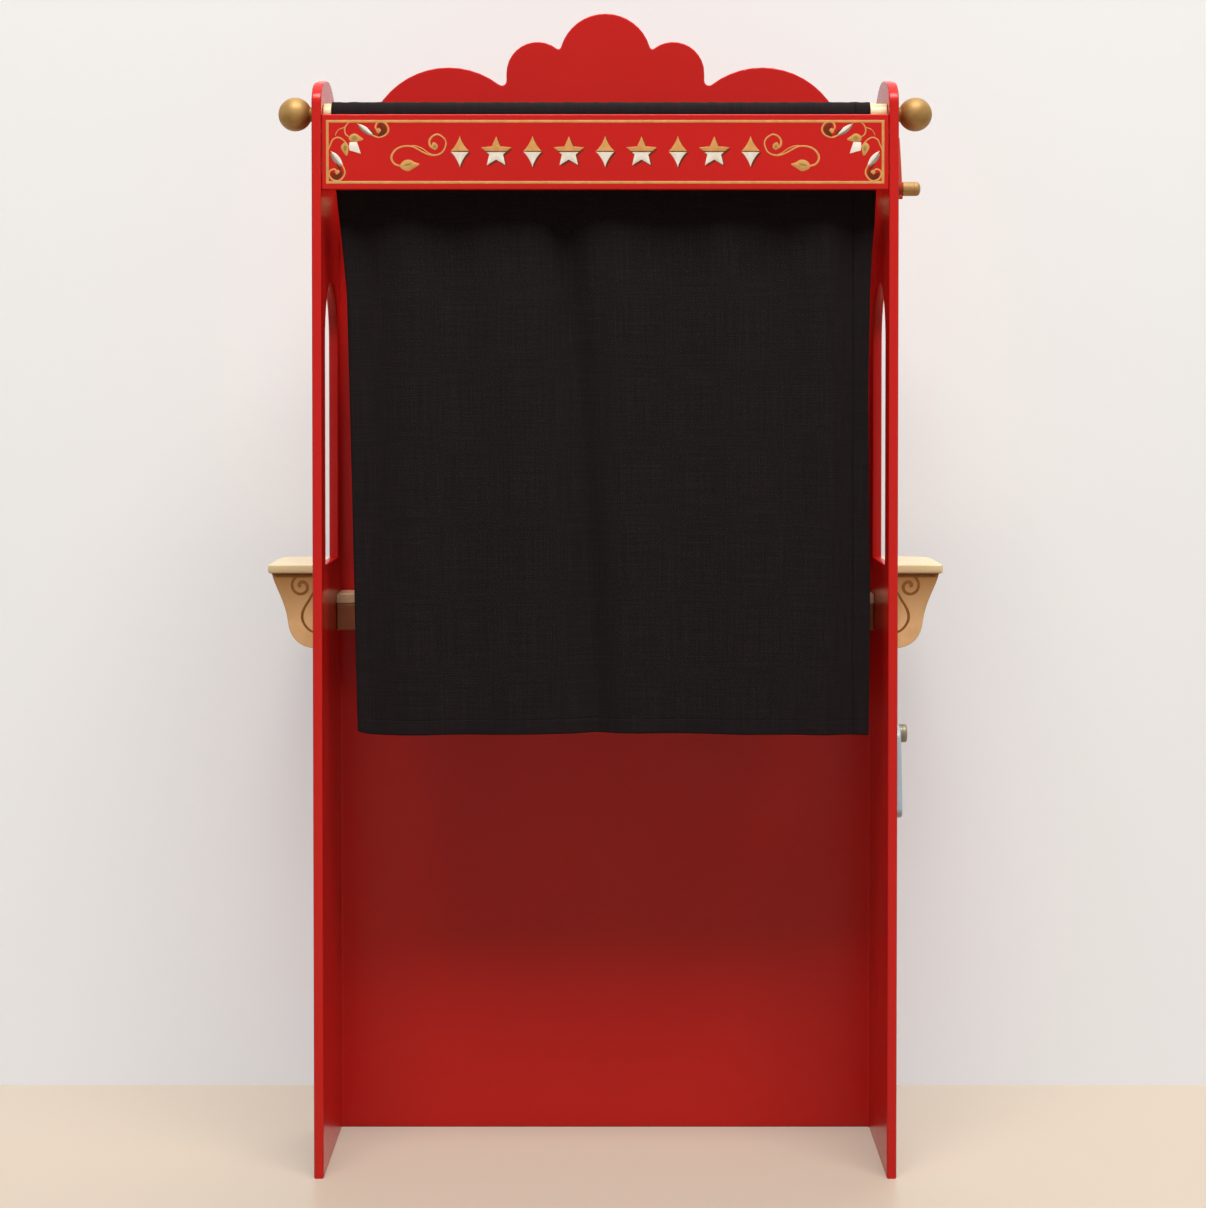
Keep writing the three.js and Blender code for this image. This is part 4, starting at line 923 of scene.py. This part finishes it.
def makeHeaderPaint(look, ornament, motif, paints):
    low, high = corners("header_board")
    left, top = low[0] + look["inset"] * mm, high[2] - look["topInset"] * mm
    width = (high[0] - low[0]) / mm - 2 * look["inset"]
    height = (high[2] - low[2]) / mm - 2 * look["topInset"]
    place = onFace((left, low[1], top), (1, 0, 0), (0, 0, -1), (0, -1, 0))
    border = closedLine([(0, 0), (width, 0), (width, height), (0, height)], look["lineWidth"])
    upper, lower, shade = motifParts(motif, width / 2)
    table = [("gold", [border] + upper, "gold_paint"), ("green", [], "gold_paint"),
             ("white", lower, "cream_paint"), ("grey", [], "cream_paint"), ("brown", shade, "gold_paint")]
    for tone, more, slotName in table:
        parts = drawnParts(**ornament[tone])
        parts += [mirrored(part, width / 2) for part in parts]
        paintedPiece("header_" + tone + "_paint", parts + more, place, paints[tone], "root", slotName)


# Corbel scrolls, in millimetres outwards from the side panel and up from the corbel's foot
corbelLook = dict(lineWidth=2.8, voluteEnd=1.3, throatEnd=0.7)
volute = [(33.1, 71.5), (36.6, 67.6), (38.0, 62.6), (36.0, 56.8), (30.6, 53.7), (25.2, 55.2), (22.7, 59.7),
          (24.4, 64.2), (28.6, 65.6), (31.0, 62.8), (28.8, 60.8)]
throatLine = [(14.6, 59.5), (18.2, 53.0), (21.2, 47.6), (25.2, 41.2), (27.8, 34.8), (27.8, 28.4),
              (25.2, 22.8), (21.0, 18.2), (15.4, 15.2)]
eaveLine = [(1.0, 71.4), (29.0, 71.4), (57.0, 71.4)]


def makeCorbelPaint(look, brown):
    width = look["lineWidth"]
    thin = width * look["throatEnd"]
    voluteLine = brushStroke(volute, (width, width, width * look["voluteEnd"]))
    parts = [voluteLine, brushStroke(throatLine, (thin, width, thin)), brushStroke(eaveLine, width)]
    for side, label in ((-1, "left"), (1, "right")):
        low, high = corners("corbel_" + label)
        foot = high[0] if side < 0 else low[0]
        for face, faceY, outward in (("rear", low[1], -1), ("front", high[1], 1)):
            place = onFace((foot, faceY, low[2]), (side, 0, 0), (0, 0, 1), (0, outward, 0))
            name = "corbel_" + label + "_" + face + "_scroll"
            paintedPiece(name, parts, place, brown, "root", "gold_paint")


# Lines on the audience's side, in millimetres from the stand's middle and the floor
frontLineLook = dict(
    lineWidth=3.0, thinLine=1.2, thinInward=6.0, openingHalf=210, openingCrown=888, archRise=92,
    archPoints=41, gap=13, shelfTop=560, spacing=12, fieldHalf=234, fieldLow=26, fieldHigh=500, hollow=22,
    hollowPoints=10,
)


def makeFrontPaint(look, gold):
    # Up the opening's side, over it along a half ellipse and down the other side
    width = look["lineWidth"]
    half, spring = look["openingHalf"] + look["gap"], look["openingCrown"] - look["archRise"]
    lineRise = look["archRise"] + look["gap"]
    right = [(half, z) for z in np.arange(look["shelfTop"] + width, spring - 1, look["spacing"])]
    over = np.linspace(0, math.pi, look["archPoints"])
    arch = [(half * math.cos(t), spring + lineRise * math.sin(t)) for t in over]
    left = [(-x, z) for x, z in reversed(right)]
    # Field below the shelf: a rectangle whose corners are quarter circles bent inwards
    wide, low, high, hollow = look["fieldHalf"], look["fieldLow"], look["fieldHigh"], look["hollow"]
    field = []
    for x, z, start in ((-wide, low, 90), (wide, low, 180), (wide, high, 270), (-wide, high, 360)):
        turn = np.radians(start - np.linspace(0, 90, look["hollowPoints"]))
        field += [(x + hollow * math.cos(t), z + hollow * math.sin(t)) for t in turn]
    parts = [brushStroke(right + arch + left, width), closedLine(field, width),
             closedLine(field, look["thinLine"], inward=look["thinInward"])]
    place = onFace((0, corners("front_panel")[1][1], 0), (1, 0, 0), (0, 0, 1), (0, 1, 0))
    paintedPiece("front_gold_lines", parts, place, gold, "root", "gold_paint")


# White line on the hanging plate, inward of its edge and round its hub
signLineLook = dict(lineWidth=2.2, inward=5.0, hubRadius=10, faceWithin=1e-5)


def makeSignPaint(look, white):
    low, high = corners("sign_plate")
    points = np.array([v.co for v in nodes["sign_plate"].data.vertices])
    onTop = points[:, 0] > high[0] - look["faceWithin"]
    outer = np.unique(np.round(points[onTop][:, 1:] / mm, 3), axis=0)
    hub = np.array(middle("sign_knob")[1:]) / mm
    rim = outer[np.linalg.norm(outer - hub, axis=1) > look["hubRadius"]]
    across, up = (rim - rim.mean(axis=0)).T
    rim = rim[np.argsort(np.arctan2(up, across))]
    line = closedLine(rim, look["lineWidth"], inward=look["inward"])
    place = onFace((high[0], 0, 0), (0, 1, 0), (0, 0, 1), (1, 0, 0))
    paintedPiece("sign_border_line", [line], place, white, "sign", "cream_paint")


# Curtains, in metres: the rear one is one sheet of black cloth with a rod pocket, a bottom hem and sewn side
# hems
rearCurtainLook = dict(
    rod="rear_curtain_rod", slot="black_cloth", held="hung", fullness=1,
    thickness=0.0009, pocketSlack=0.0006, pocketPoints=40, stitchBelowRod=0.0085, allowance=0.007,
    hemHeight=0.012, hemGap=0.0014, columns=150, stripColumns=10, rows=110, foldDepth=0.0065, foldOnset=0.1,
    foldsBelow=0.02,
    # The lower edge rises a little: everywhere, in the middle and at the left corner, from liftFrom down
    lift=0.0012, middleLift=0.002, middleAt=0.53, middleWide=0.2, cornerLift=0.004, cornerWide=0.012,
    liftFrom=0.35,
    # The stitches pucker the cloth, and the pocket is a little uneven over the rod
    pucker=0.0005, puckerPitch=0.011, puckerDrift=(2, 31), puckerSpread=0.012,
    ripple=0.00025, rippleWaves=(190, 47),
    # Drop below the rod's axis, and how far the left and right edges stand in from the pocket's ends
    edgeDrops=(0.0, 0.07, 0.1, 0.13, 0.166, 0.26, 0.345, 0.43, 0.51, 0.58),
    leftInsets=(0.001, 0.0042, 0.0074, 0.0106, 0.0139, 0.0162, 0.0183, 0.0199, 0.0215, 0.0232),
    rightInsets=(0.003, -0.0035, -0.0022, 0.0004, 0.0018, 0.0034, 0.0026, 0.0012, 0.0016, 0.0022),
    # Folds: place at the top and at the bottom as shares of the width, depth share, half width share
    foldShares=((0.05, 0.03, 0.6, 0.03), (0.13, 0.11, -0.45, 0.035), (0.22, 0.2, 0.4, 0.04),
                (0.32, 0.35, -0.35, 0.045), (0.415, 0.465, 1.3, 0.03), (0.5, 0.54, -0.6, 0.045),
                (0.62, 0.64, 0.35, 0.05), (0.72, 0.75, -0.45, 0.04), (0.83, 0.85, 0.45, 0.035),
                (0.91, 0.9, -0.4, 0.03), (0.97, 0.96, 0.7, 0.025)),
)
creaseLook = dict(seed=7, count=46, depth=0.0011, across=(-0.24, 0.24), down=(0.05, 0.57), lean=0.12,
                  width=(0.006, 0.02), length=(0.04, 0.16))
hemTurnPoints = 7
seamEase = 0.002  # how far below the pocket's seam the inner layer begins to close
seamGapShare = 0.8


def clothProfile(rodRadius, drop, look):
    # Seen from the side, (y, z) from the rod's axis: up from the pocket's seam, round the rod and down to
    # the bottom, then turned up behind as a hem. Returns places and the length along the cloth.
    gap = look["hemGap"]
    radius = rodRadius + look["pocketSlack"] + look["thickness"] / 2
    seam = -rodRadius - look["stitchBelowRod"]
    bottom = -drop + gap / 2
    under = math.asin(radius / abs(seam))
    pocketTurn = np.linspace(-under, math.pi + under, look["pocketPoints"])
    hemTurn = np.linspace(0, math.pi, hemTurnPoints)[1:]
    start = [(gap, seam - look["allowance"]), (gap, seam - seamEase), (gap * seamGapShare, seam)]
    pocket = [(radius * math.cos(a), radius * math.sin(a)) for a in pocketTurn]
    down = [(0, seam), (0, bottom)]
    turnedUp = [(gap / 2 - gap / 2 * math.cos(a), bottom - gap / 2 * math.sin(a)) for a in hemTurn]
    line = np.array(start + pocket + down + turnedUp + [(gap, -drop + look["hemHeight"])])
    along = np.concatenate([[0], np.cumsum(np.linalg.norm(np.diff(line, axis=0), axis=1))])
    pocketEnd = along[len(start) + len(pocket)]
    drape = np.linspace(pocketEnd, along[-1] - look["hemHeight"] - 2 * gap, look["rows"])
    at = np.unique(np.concatenate([along, drape]))
    return np.stack([np.interp(at, along, line[:, 0]), np.interp(at, along, line[:, 1])], axis=1), at


def creases(across, drop, look):
    # Soft creases: each a short ridge, exp(-(distance across / width)^2 - (distance down / length)^2)
    draw = np.random.default_rng(look["seed"])
    total = np.zeros(np.broadcast(across, drop).shape)
    for _ in range(look["count"]):
        x, z = draw.uniform(*look["across"]), draw.uniform(*look["down"])
        lean = draw.normal(0, look["lean"])
        width, length = draw.uniform(*look["width"]), draw.uniform(*look["length"])
        offset = (across - x) - lean * (drop - z)
        height = draw.normal(0, 1) * look["depth"]
        total += height * np.exp(-(offset / width) ** 2 - ((drop - z) / length) ** 2)
    return total


def foldDepths(u, below, drop, folds):
    # Soft folds: each depth * exp(-(distance across / half width)^2) round a line that leans with the drop
    depth = np.zeros(np.broadcast(u, below).shape)
    for topShare, bottomShare, depthShare, widthShare in folds:
        centre = topShare + (bottomShare - topShare) * below / drop
        depth += depthShare * np.exp(-((u - centre) / widthShare) ** 2)
    return depth


def lowerEdgeRise(u, below, drop, look):
    middleShare = np.exp(-((u - look["middleAt"]) / look["middleWide"]) ** 2)
    cornerShare = np.exp(-u / look["cornerWide"])
    lift = look["lift"] + look["middleLift"] * middleShare + look["cornerLift"] * cornerShare
    return lift * rise((below - look["liftFrom"]) / (drop - look["liftFrom"]))


def pointsAndUv(x, y, z, across, up):
    # The flat cloth's own measures are the UV map: across, and up from its lower end
    uv = np.stack(np.broadcast_arrays(across, up), axis=-1)
    return np.stack(np.broadcast_arrays(x, y, z), axis=-1).reshape(-1, 3), uv.reshape(-1, 2)


def rodAndDrop(node, look):
    low, high = corners(look["rod"])
    axis = middle(look["rod"])
    return axis, (high[2] - low[2]) / 2, axis[2] - corners(node)[0][2]


def hangCurtain(node, look, cloth, surface, rows, parting, edgeBody,
                turned=False):
    # Two sheets of one surface: the cloth rides on the stand, and the leading strip past the parting
    # rides on the slide
    pieces = []
    for name, share, body in ((node, np.linspace(0, parting, look["columns"]), "root"),
                              (node + "_hem", np.linspace(parting, 1, look["stripColumns"]), edgeBody)):
        points, uv = surface(share)
        quads = gridQuads(rows, len(share))
        quads = quads[:, ::-1] if turned else quads
        piece = arrayPiece(name + "_cloth", points, quads, cloth, uv=uv, smooth=True)
        solid = piece.modifiers.new("cloth thickness", "SOLIDIFY")
        solid.thickness, solid.offset = look["thickness"], 0
        pieces.append(dress(piece, body, look["slot"], name))
    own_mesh(pieces[0])


def makeRearCurtain(look, cloth):
    axis, rodRadius, drop = rodAndDrop("rear_curtain", look)
    left, right = corners("rear_curtain")[0][0], corners("rear_curtain_hem")[1][0]
    width = right - left
    seamX = corners("rear_curtain_hem")[0][0]
    parting = (seamX - left) / width
    profile, along = clothProfile(rodRadius, drop, look)

    def surface(share):
        # Point(u, v): across by the share of the width, from the left edge over the upright line where the
        # leading strip begins to the right edge, and down by the profile
        u = share[None, :]
        below = np.clip(-profile[:, 1:], 0, None)
        leftEdge = left + np.interp(below, look["edgeDrops"], look["leftInsets"])
        rightEdge = right - np.interp(below, look["edgeDrops"], look["rightInsets"])
        x = leftEdge + (seamX - leftEdge) * np.minimum(u / parting, 1)
        x = x + (rightEdge - seamX) * (np.maximum(u - parting, 0) / (1 - parting))
        folds = look["foldDepth"] * foldDepths(u, below, drop, look["foldShares"])
        depth = folds + creases(x, below, creaseLook)
        drift, driftWaves = look["puckerDrift"]
        stitches = np.sin(u * width / look["puckerPitch"] * 2 * np.pi + drift * np.sin(u * driftWaves))
        nearSeam = np.exp(-((below - rodRadius - look["stitchBelowRod"]) / look["puckerSpread"]) ** 2)
        y = axis[1] + profile[:, :1] + rise((below - look["foldsBelow"]) / look["foldOnset"]) * depth
        y = y + look["pucker"] * stitches * nearSeam
        first, second = look["rippleWaves"]
        ripple = look["ripple"] * np.sin(u * first) * np.sin(u * second)
        z = axis[2] + profile[:, 1:] + np.where(profile[:, 1:] > 0, ripple, 0)
        z = z + lowerEdgeRise(u, below, drop, look)
        return pointsAndUv(x, y, z, (u - 0.5) * width, along[-1] - along[:, None])

    hangCurtain("rear_curtain", look, cloth, surface, len(profile), parting,
                "rear_curtain_edge")


# Front curtains: a pair of red velvet sheets, gathered on their rod
frontCurtainLook = dict(
    rod="front_curtain_rod", slot="red_velvet", held="gathered", fullness=1.35,
    thickness=0.0012, pocketSlack=0.0006, pocketPoints=40, stitchBelowRod=0.0075, allowance=0.006,
    hemHeight=0.018, hemGap=0.002, columns=144, stripColumns=12, rows=60,
    pleats=8, depth=0.0065, topShare=0.32, onset=0.2, sway=0.0016, secondWave=0.22, secondPhase=0.8,
    drift=0.5, driftWaves=9, unevenness=0.22, unevenWaves=23, unevenTwist=2.0, overRod=0.12, ruffle=0.0007,
)


def makeFrontCurtain(side, label, look, velvet):
    node = "front_curtain_" + label
    axis, rodRadius, drop = rodAndDrop(node, look)
    outer, inner = (0, 1) if side < 0 else (1, 0)
    cloth = corners(node)
    fixed, lead = cloth[outer][0], corners(node + "_hem")[inner][0]
    parting = (cloth[inner][0] - fixed) / (lead - fixed)
    profile, along = clothProfile(rodRadius, drop, look)

    def surface(share):
        # Pleats: depth * (sin p + a share of sin 2p), and a sideways sway that turns them into round lobes
        u = share[None, :]
        below = np.clip(-profile[:, 1:], 0, None)
        phase = 2 * np.pi * look["pleats"] * u + look["drift"] * np.sin(look["driftWaves"] * u + side)
        openness = look["topShare"] + (1 - look["topShare"]) * rise(below / look["onset"])
        uneven = 1 + look["unevenness"] * np.sin(look["unevenWaves"] * u + look["unevenTwist"] * below / drop)
        wave = np.sin(phase) + look["secondWave"] * np.sin(2 * phase + look["secondPhase"])
        aroundRod = profile[:, 1:] > -rodRadius
        x = fixed + (lead - fixed) * u + side * look["sway"] * openness * np.sin(2 * phase)
        depth = look["depth"] * openness * uneven
        y = axis[1] + profile[:, :1] + np.where(aroundRod, look["overRod"], 1.0) * wave * depth
        z = axis[2] + profile[:, 1:] + np.where(aroundRod, look["ruffle"] * np.sin(phase), 0)
        return pointsAndUv(x, y, z, u * abs(lead - fixed) * look["fullness"], along[-1] - along[:, None])

    hangCurtain(node, look, velvet, surface, len(profile), parting,
                label + "_curtain_edge", turned=side > 0)


# Clock on the right side panel: a painted dial with plain numbers; its two hands are among the boards
dialLook = dict(
    radius=60, rim=3.4, faceLift=2.0, lift=3.2, rimLift=3.8, rimPoints=96, numberRadius=43.5, numberSize=14,
    numberSteps=4, tickRadius=54.5, hourTick=(5.0, 1.8), minuteTick=(2.6, 0.8),
)


def makeDial(look, cream, brown):
    centre = middle("clock_knob")
    # Across runs towards the audience, so that the numbers read from outside
    place = onFace((corners("side_panel_right")[1][0], centre[1], centre[2]), (0, 1, 0), (0, 0, 1), (1, 0, 0))
    turn = np.linspace(0, 2 * np.pi, look["rimPoints"], endpoint=False)
    ring = np.stack([np.cos(turn), np.sin(turn)], axis=1)
    face = filledShape(ring * look["radius"], look["faceLift"])
    paintedPiece("clock_dial_face", [face], place, cream, "root", "cream_paint")
    marks = [closedLine(ring * (look["radius"] - look["rim"] / 2), look["rim"], look["rimLift"])]
    for minute in range(60):
        size, width = look["minuteTick"] if minute % 5 else look["hourTick"]
        angle = math.radians(6 * minute)
        way = np.array([math.cos(angle), math.sin(angle)])
        reach = np.array([look["tickRadius"] - size, look["tickRadius"] - size / 2, look["tickRadius"]])
        marks.append(brushStroke(way * reach[:, None], width, look["lift"]))
    marks += [numberShape(hour, look) for hour in range(1, 13)]
    paintedPiece("clock_dial_marks", marks, place, brown, "root", "gold_paint")


def numberShape(hour, look):
    # A plain number as a thin mesh, upright at its hour
    lift = strokeLook["thickness"] * look["lift"] / 2
    curve = bpy.data.curves.new("number", "FONT")
    curve.body, curve.size = str(hour), look["numberSize"]
    curve.align_x, curve.align_y = "CENTER", "CENTER"
    curve.extrude, curve.resolution_u = lift, look["numberSteps"]
    number = bpy.data.objects.new("number", curve)
    bpy.context.collection.objects.link(number)
    bpy.context.view_layer.update()
    mesh = bpy.data.meshes.new_from_object(number.evaluated_get(bpy.context.evaluated_depsgraph_get()))
    angle = math.radians(90 - 30 * hour)
    points = np.array([v.co for v in mesh.vertices])
    points += (look["numberRadius"] * math.cos(angle), look["numberRadius"] * math.sin(angle), lift)
    work = bmesh.new()
    work.from_mesh(mesh)
    bmesh.ops.triangulate(work, faces=work.faces)
    triangles = np.array([[v.index for v in face.verts] for face in work.faces])
    work.free()
    bpy.data.objects.remove(number)
    bpy.data.curves.remove(curve)
    bpy.data.meshes.remove(mesh)
    return points, np.concatenate([triangles, triangles[:, 2:]], axis=1)


# Everything in order
bpy.context.scene.view_settings.view_transform = "Standard"
makeCamera(cameraPlace)
makeRoom(roomLook)
makeSky(skyLight)
makeLamps(lampTable)
print("room, lamps and camera are set")
finishes = {key: makeFinish(look) for key, look in finishLooks.items()}
paints = {key: makeOrnamentPaint(*look) for key, look in ornamentPaints.items()}
rearWidth = corners("rear_curtain_hem")[1][0] - corners("rear_curtain")[0][0]
frontWidth = corners("front_curtain_left_hem")[1][0] - corners("front_curtain_left")[0][0]
black = blackCloth(blackLook, rearWidth / 2)
velvet = redVelvet(velvetLook, frontWidth * frontCurtainLook["fullness"])
print("finishes are made")
makeBoards(boardTable, boardLook, finishes)
makeFillets(filletLook, finishes["lacquer"])
print("boards are rounded")
makeRods(rodLook, finishes["wood"])
makeFinials(finialLook, finishes["gold"])
makeKnob(clockKnobLook, finishes["peg"])
makeKnob(signKnobLook, finishes["knob"])
makeScrews(screwLook, finishes["steel"])
print("rods, finials, knobs and screws are turned")
makeHeaderPaint(headerLook, headerOrnament, motifLook, paints)
makeCorbelPaint(corbelLook, paints["scroll"])
makeFrontPaint(frontLineLook, paints["gold"])
makeSignPaint(signLineLook, paints["white"])
makeDial(dialLook, paints["dial"], paints["numbers"])
print("ornament is painted")
makeRearCurtain(rearCurtainLook, black)
makeFrontCurtain(-1, "left", frontCurtainLook, velvet)
makeFrontCurtain(1, "right", frontCurtainLook, velvet)
print("curtains are hung")
